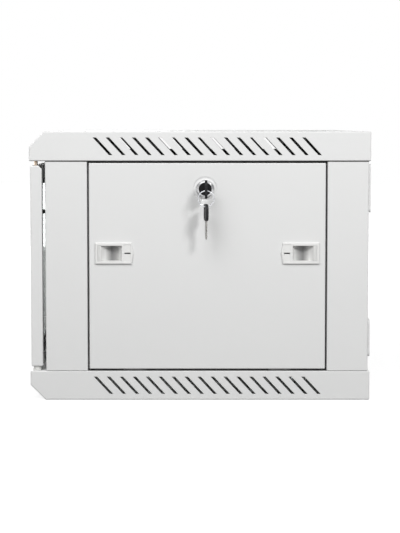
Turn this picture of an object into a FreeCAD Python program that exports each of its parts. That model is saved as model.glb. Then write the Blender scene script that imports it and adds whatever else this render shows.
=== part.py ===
import FreeCAD, Part
import math
import os

from FreeCAD import Matrix, Vector

# A 19 inch wall mount cabinet, six units high, in light grey sheet steel.
# Millimetres. X runs left to right as seen from the front, the door is on the -Y side, the wall at y = 0,
# Z is up. The origin is the centre of the four wall bolts, on the wall plane, half way up the cabinet.

# Overall sizes
width = 600.0
depth = 450.0
rack_units = 6
unit_height = 44.45
opening_margin = 5.45          # free height above and below the rack units
pan_height = 38.9              # visible height of the top and bottom pans
fascia_chamfer = 20.0          # the 45 degree bevel at the front of each pan

# Sheet metal
sheet = 1.2
panel_sheet = 1.0
rail_sheet = 2.0
inner_bend = 0.5               # inside radius of every fold
seam = 0.3                     # joint line between a post and the pan that it meets

# Door zone, front to back
door_setback = 1.3             # door face behind the front edge of the pans
door_depth = 15.3
door_to_post = 4.4
door_side_gap = 1.5
door_end_gap = 5.8             # above and below the door
door_lip = 16.0                # fold round the back of the door
corner_cut = 4.5               # bend relief at the door's upper back corners
window_border = 60.5           # steel beside the glass
window_ends = 28.0             # steel above and below the glass
window_radius = 6.0

# Glass, its seal, clips and the door's rubber bumpers
seal_thickness = 1.0
seal_width = 6.0
glass_thickness = 4.0
glass_overlap = 8.0
clip_sheet = 1.0
clip_width = 14.0
clip_foot = 11.0
clip_reach = 5.0
clip_edge_gap = 0.5
clip_place = 0.55              # clips stand this share of the way from the middle to the corner
clip_screw_place = 6.5
clip_screw_radius = 1.8
clip_screw_head = 3.2
clip_screw_head_height = 2.0
bumper_radius = 2.8
bumper_z = 72.0
bumper_inset = 15.0            # from the cabinet's side
bumper_gap = 0.3

# Front posts and back pan
post_width = 55.5
post_face = 26.0               # front face of a post, seen when the door is open
post_return = 15.0
back_wrap = 54.6               # the back pan's wrap round each side
wall_gap = 2.7                 # back pan to wall, filled by the wall plates
rebate = 12.0                  # how deep the side panels sit
stop_width = 10.0              # the folded stop behind each panel edge
rear_tab_width = 18.4          # the back pan's closing tabs, in from the cabinet's side

# Side panels
panel_gap = 2.1
panel_gap_ends = 2.5
panel_return = 11.5
tab_width = 20.0
tab_shoulder = 5.0
tab_drop = 6.5
tab_inset = 60.0               # from the panel's side edge to the middle of a tab
tab_setback = 9.0              # a tab's back, behind the panel's face
tab_slot_back = 2.4            # room in the tab's slot behind it, in front of it and beside it
tab_slot_front = 2.0
tab_slot_side = 1.0

# Vent slots
slot_count = 17
slot_pitch = 17.2
slot_height = 23.1
slot_lean = 21.4
slot_width = 4.5

pan_front_lip = 38.0
pan_rear_lip = 20.0

# Fan fields in the top
fan_count_side = 110.0         # distance of each fan from the middle
fan_y = -232.0
fan_field_radius = 54.0
fan_slot_pitch = 12.0
fan_slot_width = 4.0
fan_bolt_pitch = 105.0
fan_bolt_radius = 2.25

# Screws of the frame and of the cable covers
frame_screw_radius = 2.5
cover_screw_radius = 2.0
screw_slack = 0.1
frame_screw_length = 10.0
frame_screw_head = 4.7
frame_screw_head_height = 2.8
cover_screw_head = 3.8
cover_screw_head_height = 2.2
screw_from_opening = 14.0      # frame screws to the side opening, the post's face and the wall
screw_from_post_face = 20.0
screw_from_wall = 20.0

# Cable entries
entry_length = 260.0
entry_width = 55.0
entry_from_wall = 30.0
cover_overlap = 12.0
cover_screw_inset = 10.0
cover_corner = 4.0

# 19 inch rails
rail_inset = 74.5              # rail's inner edge from the cabinet's side: 451 clear for 19 inch equipment
rail_hole_inset = 7.05         # holes 465.1 apart across the rails
rail_flange = 24.5
rail_depth = 46.0
rail_lip = 12.0
rail_front_y = -331.0
rail_rear_y = -100.0
rail_end_gap = 1.8             # rail end to the pans
cage_hole = 9.5
cage_hole_heights = (6.35, 22.225, 38.1)   # in each unit, from its lower edge

# Depth straps that carry the rails
strap_height = 30.0
strap_from_opening = 26.8      # a strap's middle to the end of the side opening
strap_jog_front = -408.0
strap_jog_end = -394.0
strap_tab = 23.0
strap_front_gap = 2.0
strap_slot_half = 15.0

rail_bolt_inset = 23.0         # from a rail's face to its bolts
strap_front_bolt = 8.5         # from the front of a post to a strap's bolt
strap_rear_bolt = 13.0         # from a strap's web to the bolt of its rear tab
bolt_radius = 3.0
bolt_hole_radius = 3.2
bolt_flats = 10.0
bolt_head = 4.0
bolt_length = 14.0
rear_bolt_length = 5.4
bolt_nut = 5.0

# Earth stud
stud_inset = 90.0              # from the cabinet's left side
stud_from_wall = 70.0
stud_length = 22.0
stud_nut_lift = 0.2
stud_slack = 0.05

# Wall plates and their bolts
wall_bolt_inset = 16.0         # from the cabinet's side
wall_bolt_from_opening = 42.8
wall_bolt_radius = 5.0
wall_plate_inset = 3.0
wall_plate_width = 39.0
wall_plate_inner_end = 67.8    # ends of the plates to the end of the side opening
wall_plate_end_upper = 3.8
wall_plate_end_lower = 18.8
wall_plate_corner = 5.0
wall_plate_relief = 4.5        # round the rear strap bolts

# Slide latches
latch_length = 50.2
latch_height = 27.8
latch_point = 2.4
latch_bezel = 2.6
latch_inset = 8.3              # bezel end to the panel's edge
latch_z = 17.5
latch_body_half = 23.0
latch_body_height = 25.0
latch_wall = 1.3
latch_end_wall = 1.5
latch_floor = 0.8
latch_edge_round = 0.8
latch_cut_slack = 0.2          # round the housing in the panel
latch_running = 0.3
window_inner = -10.0
window_outer = 22.0
window_height = 20.2
pad_recess = 0.4               # the sunk pad beside the finger window, and its frame
pad_frame = 2.4
pad_mark_length = 8.0          # the slot in the pad
pad_mark_height = 1.8
pad_mark_gap = 1.0             # from the slot to the pad's end
scoop_depth = 9.0
scoop_start = 17.5             # where the finger scoop starts, and its deepest line
scoop_valley = 4.0
scoop_wall = 0.9
scoop_inset = 0.5
scoop_outer_sag = 1.4          # how far the scoop's two slopes curve
scoop_inner_sag = 2.2
grip_drop = 0.5                # the slider's ribbed grip, below the bezel's top
grip_gap = 0.3                 # between the grip and its window
rib_count = 3
rib_pitch = 1.15
rib_width = 0.5
rib_height = 0.3
slider_lap = 3.2               # the slider reaches this far under the frame of its window
bolt_reach = 7.5
bolt_thickness = 3.0
bolt_width = 14.0
bolt_root = 4.0
bolt_bevel = 2.0
bolt_gap = 0.3                 # bolt to the stop that it locks behind

spring_end = 5.0
spring_space = 3.4
spring_strip = 0.4
spring_half_width = 2.0
spring_groove_half = 3.0
spring_lift = 0.1
spring_free = 0.4

# Cam locks
dish_radius = 16.5             # the pressed dish round a side lock
dish_slope = 2.0
dish_depth = 1.0
lock_y = -218.2                # side locks
lock_from_opening = 36.4       # the side locks below the upper end of the side opening
door_lock_inset = 38.0         # the door's lock, from the cabinet's left side
bezel_radius = 12.0
bezel_top_radius = 9.4
bezel_height = 5.5
plug_radius = 8.2
core_radius = 6.0
barrel_radius = 9.0
barrel_slack = 0.1
bezel_rim = 1.2                # the upright rim at the foot of the bezel
bezel_rim_round = 0.6
plug_recess = 0.5
plug_seat = 3.3                # where the plug's head rests, below the bezel's top
lock_running = 0.1
lock_end_gap = 0.1             # barrel's end to the cam
nut_flats = 22.0
nut_height = 4.0
cam_width = 12.0
cam_thickness = 2.0
cam_round = 5.5
cam_gap = 0.5                  # cam to the stop that it locks behind
cam_play = 0.1
side_cam_length = 34.0
door_cam_length = 26.0
cam_notch_gap = 5.0            # free height in the post's return above and below the door's cam
shank_square = 7.0
cam_hole_slack = 0.1
cam_screw_foot = 5.2
cam_screw_top = 4.0
cam_screw_height = 2.4

# Key, split ring and spare key
key_thickness = 2.0
key_blade_width = 7.4
key_blade_length = 24.0
key_inserted = 17.8
key_offset = 1.2               # the keyway stands off the lock's middle
keyway_slack = 0.15
keyway_depth_slack = 0.2
key_tip = 3.0                  # length of the pointed tip, and half the width of its end
key_tip_half = 1.2
key_bites = (1.0, 2.0, 1.5, 1.0)
bite_first = 4.5
bite_pitch = 3.6
bite_slope = 0.9
bite_flat = 0.8
key_groove_width = 1.6
key_groove_depth = 0.45
bow_length = 22.0
bow_width = 24.0
bow_thickness = 3.4
bow_hole_radius = 2.6
bow_hole_inset = 5.0
bow_corner = 7.0
bow_round = 0.8
bow_rim = 3.0                  # round the sunk field on both faces of a bow
bow_field_height = 9.0
bow_field_corner = 3.0
bow_field_depth = 0.4
ring_radius = 10.2
ring_wire_radius = 0.75
ring_slack = 0.2
spare_turn = 8.0               # the spare key hangs a little turned

# Door hinge
hinge_inset_x = 8.5
hinge_inset_y = 8.5
pin_radius = 2.5
pin_running = 0.08
pin_past_lip = 1.3
bracket_height = 28.0
bracket_sheet = 1.5
bracket_end_gap = 5.0          # free height between the door's end and the bracket
bracket_reach = 6.0
bracket_half_depth = 5.0
collar_radius = 4.0
collar_height = 1.7
collar_gap = 0.3
pin_tail = 6.0                 # the sprung pin below its bracket, and the arm on it that pulls it
pull_radius = 1.5
pull_length = 16.0
spring_radius = 3.9
spring_wire = 0.8
spring_turns = 6
spacer_radius = 5.0

# Worked out from the sizes above
half_width = width / 2
opening_height = rack_units * unit_height + 2 * opening_margin
half_opening = opening_height / 2
half_height = half_opening + pan_height
lock_z = half_opening - lock_from_opening
strap_z = half_opening - strap_from_opening
wall_bolt_z = half_opening - wall_bolt_from_opening
wall_plate_low = half_opening - wall_plate_inner_end
wall_plate_high_upper = half_opening - wall_plate_end_upper
wall_plate_high_lower = half_opening - wall_plate_end_lower
front = -depth
door_front = front + door_setback
door_back = door_front + door_depth
post_front = door_back + door_to_post
opening_front = post_front + post_width
opening_back = -wall_gap - back_wrap
opening_middle = (opening_front + opening_back) / 2
wall_bolt_x = half_width - wall_bolt_inset
door_lock_x = door_lock_inset - half_width
stop_face = half_width - rebate
stop_back = stop_face - sheet
back_inner = -wall_gap - sheet
hinge_x = half_width - hinge_inset_x
hinge_y = front + hinge_inset_y
strap_front_bolt_y = post_front + strap_front_bolt
rail_inner = half_width - rail_inset
rail_outer = rail_inner + rail_flange
strap_rear_bolt_x = rail_outer + strap_rear_bolt
rail_bolt_y = (rail_front_y + rail_bolt_inset, rail_rear_y - rail_bolt_inset)
half_door = half_opening - door_end_gap
door_half_width = half_width - door_side_gap
window_half_x = door_half_width - window_border
window_half_z = half_door - window_ends
panel_front = opening_front + panel_gap
panel_back = opening_back - panel_gap
half_panel = half_opening - panel_gap_ends
side_barrel = rebate - dish_depth + sheet + cam_gap - lock_end_gap
door_barrel = post_front + sheet + cam_gap - door_front - lock_end_gap


def box(x0, x1, y0, y1, z0, z1):
    return Part.makeBox(x1 - x0, y1 - y0, z1 - z0, Vector(x0, y0, z0))


def prism(points, direction):
    """A flat outline, given as points in space, pushed along a direction."""
    wire = Part.makePolygon([Vector(*p) for p in points] + [Vector(*points[0])])
    return Part.Face(wire).extrude(Vector(*direction))


def mirrored_x(shape):
    return shape.mirror(Vector(0, 0, 0), Vector(1, 0, 0))


def mirrored_z(shape):
    return shape.mirror(Vector(0, 0, 0), Vector(0, 0, 1))


def fused(shapes):
    joined = shapes[0].multiFuse(shapes[1:]) if len(shapes) > 1 else shapes[0]
    return joined.removeSplitter()


def hexagon(flats, height, centre, axis):
    """A hexagonal block such as a nut or a bolt head, standing on centre along axis."""
    points = []
    for i in range(6):
        angle = math.radians(60 * i + 30)
        corner = flats / math.sqrt(3)
        points.append((corner * math.cos(angle), corner * math.sin(angle), 0))
    shape = prism(points, (0, 0, height))
    shape.Placement = FreeCAD.Placement(centre, FreeCAD.Rotation(Vector(0, 0, 1), axis))
    return shape


def rounded_edges(shape, radius, keep):
    """Rounds the edges for which keep(edge) is true."""
    edges = [e for e in shape.Edges if keep(e)]
    return shape.makeFillet(radius, edges)


def bent_strip(points, thickness, height, low):
    """A strip of sheet folded along a plan outline. Its thickness lies to the left of the outline, or to the
    right if it is negative, and every fold has the same inside radius."""
    side = 1 if thickness > 0 else -1
    sheet_t = abs(thickness)
    flat = [Vector(x, y, 0) for x, y in points]
    headings = [(b - a).normalize() for a, b in zip(flat, flat[1:])]

    def line(offset):
        """The outline moved sideways: a list of (tangent point, arc middle or None, tangent point)."""
        found = []
        for i, p in enumerate(flat):
            before = headings[max(i - 1, 0)]
            after = headings[min(i, len(headings) - 1)]
            normal_a = Vector(-before.y, before.x, 0)
            if i in (0, len(flat) - 1):
                found.append((p + normal_a * offset if i else p + Vector(-after.y, after.x, 0) * offset,))
                continue
            turn = before.x * after.y - before.y * after.x
            angle = math.atan2(turn, before.dot(after))
            half = math.tan(abs(angle) / 2)
            corner = p + normal_a * offset - before * (offset * math.tan(angle / 2))
            inside = (turn > 0) == (offset > 0) if offset else (turn > 0) != (side > 0)
            radius = inner_bend if inside else inner_bend + sheet_t
            start = corner - before * (radius * half)
            end = corner + after * (radius * half)
            centre = start + normal_a * (radius if turn > 0 else -radius)
            middle = centre + (corner - centre).normalize() * radius
            found.append((start, middle, end))
        return found

    near, far = line(0.0), line(side * sheet_t)
    edges = []

    def walk(stretch):
        last = stretch[0][0]
        for stop in stretch[1:]:
            edges.append(Part.LineSegment(last, stop[0]).toShape())
            if len(stop) == 3:
                edges.append(Part.Arc(*stop).toShape())
            last = stop[-1]
        return last

    end_near = walk(near)
    edges.append(Part.LineSegment(end_near, far[-1][0]).toShape())
    backwards = [tuple(reversed(s)) for s in reversed(far)]
    end_far = walk(backwards)
    edges.append(Part.LineSegment(end_far, near[0][0]).toShape())
    face = Part.Face(Part.Wire(edges))
    strip = face.extrude(Vector(0, 0, height))
    strip.translate(Vector(0, 0, low))
    return strip


def pan_solid(inset):
    """The outline of the top pan as a solid block with its folds rounded, drawn in by inset on every face."""
    bevel = inset * (math.sqrt(2) - 1)
    x, low, high = half_width - inset, half_opening + inset, half_height - inset
    side = [
        (-x, front + inset, low),
        (-x, front + inset, half_height - fascia_chamfer - bevel),
        (-x, front + fascia_chamfer + bevel, high),
        (-x, -inset, high),
        (-x, -inset, low),
    ]
    return rounded_edges(prism(side, (2 * x, 0, 0)), inner_bend + sheet - inset, lambda e: True)


def pan_blank():
    """The top pan without its holes: a folded tray, open downwards, with a lip all round and two stops."""
    low = half_opening
    tray = pan_solid(0.0).cut(pan_solid(sheet))
    inner_side = half_width - post_face
    tray = tray.cut(box(-inner_side, inner_side, front + pan_front_lip, -pan_rear_lip, low - 1,
                        low + 2 * sheet))
    tray = tray.cut(box(-stop_back, stop_back, opening_front, opening_back, low - 1, low + 2 * sheet))
    stops = [
        box(x0, x1, opening_front + stop_width + seam, opening_back - stop_width - seam, low - stop_width,
            low + sheet)
        for x0, x1 in ((stop_back, stop_face), (-stop_face, -stop_back))
    ]
    return fused([tray] + stops)


def tab_middles():
    return panel_front + tab_inset, panel_back - tab_inset


def slot_cutters(low):
    """The row of leaning vent slots through both side flanges of a pan, from height low upwards."""
    row = (slot_count - 1) * slot_pitch + slot_lean + slot_width
    first = opening_middle - row / 2
    cutters = []
    for i in range(slot_count):
        y = first + i * slot_pitch
        for x in (-half_width - sheet, half_width - 3 * sheet):
            outline = [
                (x, y, low + slot_height),
                (x, y + slot_width, low + slot_height),
                (x, y + slot_width + slot_lean, low),
                (x, y + slot_lean, low),
            ]
            cutters.append(prism(outline, (4 * sheet, 0, 0)))
    return cutters


def upright(x, y, z0, z1, radius):
    return Part.makeCylinder(radius, z1 - z0, Vector(x, y, z0), Vector(0, 0, 1))


def frame_screw_places():
    places = []
    for side in (-1, 1):
        x = side * (half_width - post_face / 2)
        places += [(x, opening_front - screw_from_opening), (x, post_front + screw_from_post_face)]
        places += [(x, opening_back + screw_from_opening), (x, -screw_from_wall)]
    return places


def cover_screw_places():
    x = entry_length / 2 - cover_screw_inset
    edges = (-entry_from_wall + cover_overlap / 2, -entry_from_wall - entry_width - cover_overlap / 2)
    return [(sx * x, y) for sx in (-1, 1) for y in edges]


def pan_holes(fans):
    """Cutters for a top pan: frame screws, hinge pins, cable entry and, if wanted, the fan fields."""
    low, high = half_opening, half_height
    cutters = []
    for x, y in frame_screw_places():
        cutters.append(upright(x, y, low - 1, low + 2 * sheet, frame_screw_radius + screw_slack))
    for sx in (-1, 1):
        cutters.append(upright(sx * hinge_x, hinge_y, low - 1, low + 2 * sheet, pin_radius + pin_running))
    cutters.append(box(-entry_length / 2, entry_length / 2, -entry_from_wall - entry_width, -entry_from_wall,
                       high - 2 * sheet, high + 1))
    for x, y in cover_screw_places():
        cutters.append(upright(x, y, high - 2 * sheet, high + 1, cover_screw_radius + screw_slack))
    if fans:
        for sx in (-1, 1):
            cutters += fan_cutters(sx * fan_count_side)
    return cutters


def fan_cutters(fan_x):
    """Leaning slots clipped to a fan's circle, and its four screw holes."""
    low, high = half_height - 2 * sheet, half_height + 1
    cutters = []
    rows = int(fan_field_radius / fan_slot_pitch)
    for i in range(-rows, rows + 1):
        y = i * fan_slot_pitch
        reach = math.sqrt(fan_field_radius ** 2 - y ** 2)
        for x0, x1 in ((-reach, -fan_slot_width), (fan_slot_width, reach)):
            lean = fan_slot_width
            outline = [
                (fan_x + x0, fan_y + y, low),
                (fan_x + x1, fan_y + y, low),
                (fan_x + x1 + lean, fan_y + y + fan_slot_width, low),
                (fan_x + x0 + lean, fan_y + y + fan_slot_width, low),
            ]
            cutters.append(prism(outline, (0, 0, high - low)))
    half = fan_bolt_pitch / 2
    for sx in (-1, 1):
        for sy in (-1, 1):
            cutters.append(upright(fan_x + sx * half, fan_y + sy * half, low, high, fan_bolt_radius))
    return cutters


def make_pans():
    blank = pan_blank()
    slots_low = half_opening + (pan_height - slot_height) / 2
    top = blank.cut(Part.makeCompound(slot_cutters(slots_low) + pan_holes(True)))
    bottom = mirrored_z(blank)
    cutters = [mirrored_z(c) for c in pan_holes(False)]
    for side in (-1, 1):
        for y in tab_middles():
            back = half_width - tab_setback
            ends = (side * (back - tab_slot_back), side * (back + panel_sheet + tab_slot_front))
            half = tab_width / 2 + tab_slot_side
            cutters.append(box(min(ends), max(ends), y - half, y + half, -half_opening - 2 * sheet,
                               -half_opening + 1))
    bottom = bottom.cut(Part.makeCompound(slot_cutters(-slots_low - slot_height) + cutters))
    return top, bottom


def make_front_post():
    """The right front post: a folded strip with a closing tab at each end."""
    x_in = half_width - post_face
    outline = [
        (x_in, post_front + post_return),
        (x_in, post_front),
        (half_width, post_front),
        (half_width, opening_front),
        (stop_face, opening_front),
        (stop_face, opening_front + stop_width),
    ]
    post = bent_strip(outline, sheet, opening_height - 2 * seam, -half_opening + seam)
    tabs = [
        box(x_in + sheet / 2, half_width - sheet / 2, post_front + sheet / 2, opening_front - sheet / 2,
            half_opening - seam - sheet, half_opening)
    ]
    tabs.append(mirrored_z(tabs[0]))
    post = fused([post] + tabs)
    cutters = []
    for x, y in frame_screw_places():
        cutters.append(upright(x, y, -half_height, half_height, frame_screw_radius + screw_slack))
    cutters.append(box(x_in - 1, x_in + 2 * sheet, post_front + sheet + seam, post_front + post_return + 1,
                       -door_cam_length - cam_notch_gap, cam_width / 2 + cam_notch_gap))
    for z in (-strap_z, strap_z):
        hole = Vector(x_in - sheet, strap_front_bolt_y, z)
        cutters.append(Part.makeCylinder(bolt_hole_radius, 4 * sheet, hole, Vector(1, 0, 0)))
    return post.cut(Part.makeCompound(cutters))


def make_back_pan():
    """The back and both rear side strips, folded from one sheet, with closing tabs at the corners."""
    outline = [
        (stop_face, opening_back - stop_width),
        (stop_face, opening_back),
        (half_width, opening_back),
        (half_width, -wall_gap),
        (-half_width, -wall_gap),
        (-half_width, opening_back),
        (-stop_face, opening_back),
        (-stop_face, opening_back - stop_width),
    ]
    pan = bent_strip(outline, sheet, opening_height - 2 * seam, -half_opening + seam)
    tabs = []
    for side in (-1, 1):
        ends = (side * (half_width - rear_tab_width), side * (half_width - sheet / 2))
        tabs.append(box(min(ends), max(ends), opening_back + sheet / 2, -wall_gap - sheet / 2,
                        half_opening - seam - sheet, half_opening))
    tabs += [mirrored_z(t) for t in tabs]
    pan = fused([pan] + tabs)
    cutters = []
    for x, y in frame_screw_places():
        cutters.append(upright(x, y, -half_height, half_height, frame_screw_radius + screw_slack))
    for sx in (-1, 1):
        for sz in (-1, 1):
            hole = Vector(sx * wall_bolt_x, -10, sz * wall_bolt_z)
            cutters.append(Part.makeCylinder(wall_bolt_radius, 20, hole, Vector(0, 1, 0)))
            hole = Vector(sx * strap_rear_bolt_x, -10, sz * strap_z)
            cutters.append(Part.makeCylinder(bolt_radius + screw_slack, 20, hole, Vector(0, 1, 0)))
    return pan.cut(Part.makeCompound(cutters))


def make_wall_plates():
    plates = []
    for sx in (-1, 1):
        for sz, high in ((1, wall_plate_high_upper), (-1, wall_plate_high_lower)):
            outer = half_width - wall_plate_inset
            x0, x1 = sorted((sx * (outer - wall_plate_width), sx * outer))
            z0, z1 = sorted((sz * wall_plate_low, sz * high))
            plate = box(x0, x1, -wall_gap, 0, z0, z1)
            plate = rounded_edges(plate, wall_plate_corner, lambda e: abs(e.tangentAt(0).y) > 0.99)
            hole = Part.makeCylinder(wall_bolt_radius, 20, Vector(sx * wall_bolt_x, -10, sz * wall_bolt_z),
                                     Vector(0, 1, 0))
            relief = Vector(sx * strap_rear_bolt_x, -10, sz * strap_z)
            relief = Part.makeCylinder(wall_plate_relief, 20, relief, Vector(0, 1, 0))
            plates.append(plate.cut(hole).cut(relief))
    return plates


def make_rack_rail():
    """The right front 19 inch rail, with a square cage nut hole three times in each unit."""
    outline = [
        (rail_inner, rail_front_y),
        (rail_outer, rail_front_y),
        (rail_outer, rail_front_y + rail_depth),
        (rail_outer - rail_lip, rail_front_y + rail_depth),
    ]
    half = half_opening - rail_end_gap
    rail = bent_strip(outline, rail_sheet, 2 * half, -half)
    cutters = []
    x = rail_inner + rail_hole_inset
    for unit in range(rack_units):
        for height in cage_hole_heights:
            z = -rack_units * unit_height / 2 + unit * unit_height + height
            cutters.append(box(x - cage_hole / 2, x + cage_hole / 2, rail_front_y - 1,
                               rail_front_y + rail_sheet + 1, z - cage_hole / 2, z + cage_hole / 2))
    for z in (-strap_z, strap_z):
        hole = Vector(rail_outer - 2 * rail_sheet, rail_bolt_y[0], z)
        cutters.append(Part.makeCylinder(bolt_hole_radius, 4 * rail_sheet, hole, Vector(1, 0, 0)))
    return rail.cut(Part.makeCompound(cutters))


def make_strap():
    """The upper right depth strap: bolted to the front post, jogged in to the rails and turned out behind."""
    post_side = half_width - post_face - rail_sheet
    outline = [
        (post_side, post_front + strap_front_gap),
        (post_side, strap_jog_front),
        (rail_outer, strap_jog_end),
        (rail_outer, back_inner),
        (rail_outer + strap_tab, back_inner),
    ]
    strap = bent_strip(outline, -rail_sheet, strap_height, strap_z - strap_height / 2)
    across = 3 * rail_sheet
    r = bolt_hole_radius
    hole = Vector(post_side - rail_sheet, strap_front_bolt_y, strap_z)
    strap = strap.cut(Part.makeCylinder(r, across, hole, Vector(1, 0, 0)))
    for y in rail_bolt_y:
        low, high = y - strap_slot_half, y + strap_slot_half
        slot = [Part.makeCylinder(r, across, Vector(rail_outer - rail_sheet, end, strap_z), Vector(1, 0, 0))
                for end in (low, high)]
        slot.append(box(rail_outer - rail_sheet, rail_outer + 2 * rail_sheet, low, high, strap_z - r,
                        strap_z + r))
        strap = strap.cut(fused(slot))
    hole = Vector(strap_rear_bolt_x, back_inner - 2 * rail_sheet, strap_z)
    return strap.cut(Part.makeCylinder(r, across, hole, Vector(0, 1, 0)))


def bolt(head_base, direction, length):
    """A hexagon bolt: the head stands on head_base against direction, and the shank runs along direction."""
    head = hexagon(bolt_flats, bolt_head, head_base - direction * bolt_head, direction)
    shank = Part.makeCylinder(bolt_radius, length, head_base, direction)
    return fused([head, shank])


def nut(base, direction, slack=0.0):
    ring = hexagon(bolt_flats, bolt_nut, base, direction)
    start = base - direction * bolt_nut
    return ring.cut(Part.makeCylinder(bolt_radius + slack, 3 * bolt_nut, start, direction))


def make_rail_bolts():
    bolts, nuts = [], []
    post_side = half_width - post_face - rail_sheet
    for sz in (-1, 1):
        z = sz * strap_z
        for y in rail_bolt_y:
            bolts.append(bolt(Vector(rail_outer + rail_sheet, y, z), Vector(-1, 0, 0), bolt_length))
            nuts.append(nut(Vector(rail_outer - rail_sheet, y, z), Vector(-1, 0, 0)))
        bolts.append(bolt(Vector(post_side, strap_front_bolt_y, z), Vector(1, 0, 0), bolt_length))
        nuts.append(nut(Vector(half_width - post_face + sheet, strap_front_bolt_y, z), Vector(1, 0, 0)))
        rear = Vector(strap_rear_bolt_x, back_inner - rail_sheet, z)
        bolts.append(bolt(rear, Vector(0, 1, 0), rear_bolt_length))
    return bolts + [mirrored_x(b) for b in bolts], nuts + [mirrored_x(n) for n in nuts]


def pan_head_screw(head_base, direction, length, radius, head_radius, head_height):
    """A domed screw: the head stands on head_base against direction."""
    head = Part.makeCone(head_radius, head_radius * 0.7, head_height, head_base, direction * -1)
    return fused([head, Part.makeCylinder(radius, length, head_base, direction)])


def make_frame_screws():
    screws = []
    for x, y in frame_screw_places():
        screw = pan_head_screw(Vector(x, y, half_opening + sheet), Vector(0, 0, -1), frame_screw_length,
                               frame_screw_radius, frame_screw_head, frame_screw_head_height)
        screws += [screw, mirrored_z(screw)]
    return screws


def make_cable_cover():
    """The plate that closes the top cable entry from inside."""
    x = entry_length / 2 + cover_overlap
    y0, y1 = -entry_from_wall - entry_width - cover_overlap, -entry_from_wall + cover_overlap
    cover = box(-x, x, y0, y1, half_height - 2 * sheet, half_height - sheet)
    cover = rounded_edges(cover, cover_corner, lambda e: abs(e.tangentAt(0).z) > 0.99)
    hole = cover_screw_radius + screw_slack
    holes = [upright(px, py, 0, half_height, hole) for px, py in cover_screw_places()]
    return cover.cut(Part.makeCompound(holes))


def make_cover_screws():
    screws = []
    for x, y in cover_screw_places():
        screw = pan_head_screw(Vector(x, y, half_height - 2 * sheet), Vector(0, 0, 1),
                               2 * (sheet - screw_slack), cover_screw_radius, cover_screw_head,
                               cover_screw_head_height)
        screws += [screw, mirrored_z(screw)]
    return screws


def make_earth_stud():
    """An M6 stud welded to the floor of the bottom pan, with its nut."""
    foot = Vector(stud_inset - half_width, -stud_from_wall, -half_height + sheet)
    up = Vector(0, 0, 1)
    stud = Part.makeCylinder(bolt_radius, stud_length, foot, up)
    return [stud, nut(foot + up * stud_nut_lift, up, stud_slack)]


def door_solid(inset):
    """The outline of the door as a solid block with its folds rounded, drawn in by inset on every face."""
    x, z = door_half_width - inset, half_door - inset
    return rounded_edges(box(-x, x, door_front + inset, door_back - inset, -z, z), inner_bend + sheet - inset,
                         lambda e: True)


def make_door_frame():
    """The door: a shallow tray with a lip round its back, a window, and holes for lock and hinge pins."""
    door = door_solid(0.0).cut(door_solid(sheet))
    inner_x, inner_z = door_half_width - door_lip, half_door - door_lip
    door = door.cut(box(-inner_x, inner_x, door_back - 2 * sheet, door_back + 1, -inner_z, inner_z))
    window = box(-window_half_x, window_half_x, door_front - 1, door_front + 2 * sheet, -window_half_z,
                 window_half_z)
    window = rounded_edges(window, window_radius, lambda e: abs(e.tangentAt(0).y) > 0.99)
    lock_hole = Part.makeCylinder(barrel_radius + barrel_slack, 5, Vector(door_lock_x, door_front - 1, 0),
                                  Vector(0, 1, 0))
    pin_hole = upright(hinge_x, hinge_y, -half_door - 1, half_door + 1, pin_radius + pin_running)
    notch = [
        (inner_x, door_back + 1, half_door - corner_cut - 1),
        (inner_x, door_back + 1, half_door + 1),
        (inner_x, door_back - corner_cut - 1, half_door + 1),
    ]
    notch = prism(notch, (door_lip + 1, 0, 0))
    return door.cut(window).cut(lock_hole).cut(pin_hole).cut(notch).cut(mirrored_x(notch))


def make_glass():
    x, z = window_half_x + glass_overlap, window_half_z + glass_overlap
    y0 = door_front + sheet + seal_thickness
    glass = box(-x, x, y0, y0 + glass_thickness, -z, z)
    return rounded_edges(glass, window_radius, lambda e: abs(e.tangentAt(0).y) > 0.99)


def make_glass_seal():
    x, z = window_half_x + glass_overlap, window_half_z + glass_overlap
    y0 = door_front + sheet
    seal = box(-x, x, y0, y0 + seal_thickness, -z, z)
    seal = rounded_edges(seal, window_radius, lambda e: abs(e.tangentAt(0).y) > 0.99)
    xi, zi = x - seal_width, z - seal_width
    return seal.cut(box(-xi, xi, y0 - 1, y0 + 2, -zi, zi))


def glass_clip_frames():
    """Where each clip stands: the middle of the glass edge, and the outward direction there."""
    x, z = window_half_x + glass_overlap, window_half_z + glass_overlap
    frames = []
    for sx in (-1, 1):
        frames += [(sx * x * clip_place, z, 0, 1), (sx * x * clip_place, -z, 0, -1)]
        frames += [(sx * x, z * clip_place, sx, 0), (sx * x, -z * clip_place, sx, 0)]
    return frames


def make_glass_clips():
    """Z shaped clips that hold the glass against its seal, each on its own screw."""
    rise = seal_thickness + glass_thickness
    gap = clip_edge_gap
    outline = [(clip_foot + gap, 0), (gap, 0), (gap, rise), (-clip_reach, rise)]
    clips, screws = [], []
    for x, z, out_x, out_z in glass_clip_frames():
        clip = bent_strip(outline, -clip_sheet, clip_width, -clip_width / 2)
        screw = pan_head_screw(Vector(clip_screw_place, clip_sheet, 0), Vector(0, -1, 0), clip_sheet,
                               clip_screw_radius, clip_screw_head, clip_screw_head_height)
        hole = Part.makeCylinder(clip_screw_radius + screw_slack, 4 * clip_sheet,
                                 Vector(clip_screw_place, -clip_sheet, 0), Vector(0, 1, 0))
        clip = clip.cut(hole)
        turn = Matrix(out_x, 0, -out_z, x, 0, 1, 0, door_front + sheet, out_z, 0, out_x, z)
        clips.append(clip.transformed(turn))
        screws.append(screw.transformed(turn))
    return clips, screws


def make_bumpers():
    length = door_to_post - bumper_gap
    places = [Vector(sx * (half_width - bumper_inset), door_back, bumper_z) for sx in (-1, 1)]
    return [Part.makeCylinder(bumper_radius, length, place, Vector(0, 1, 0)) for place in places]


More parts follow.
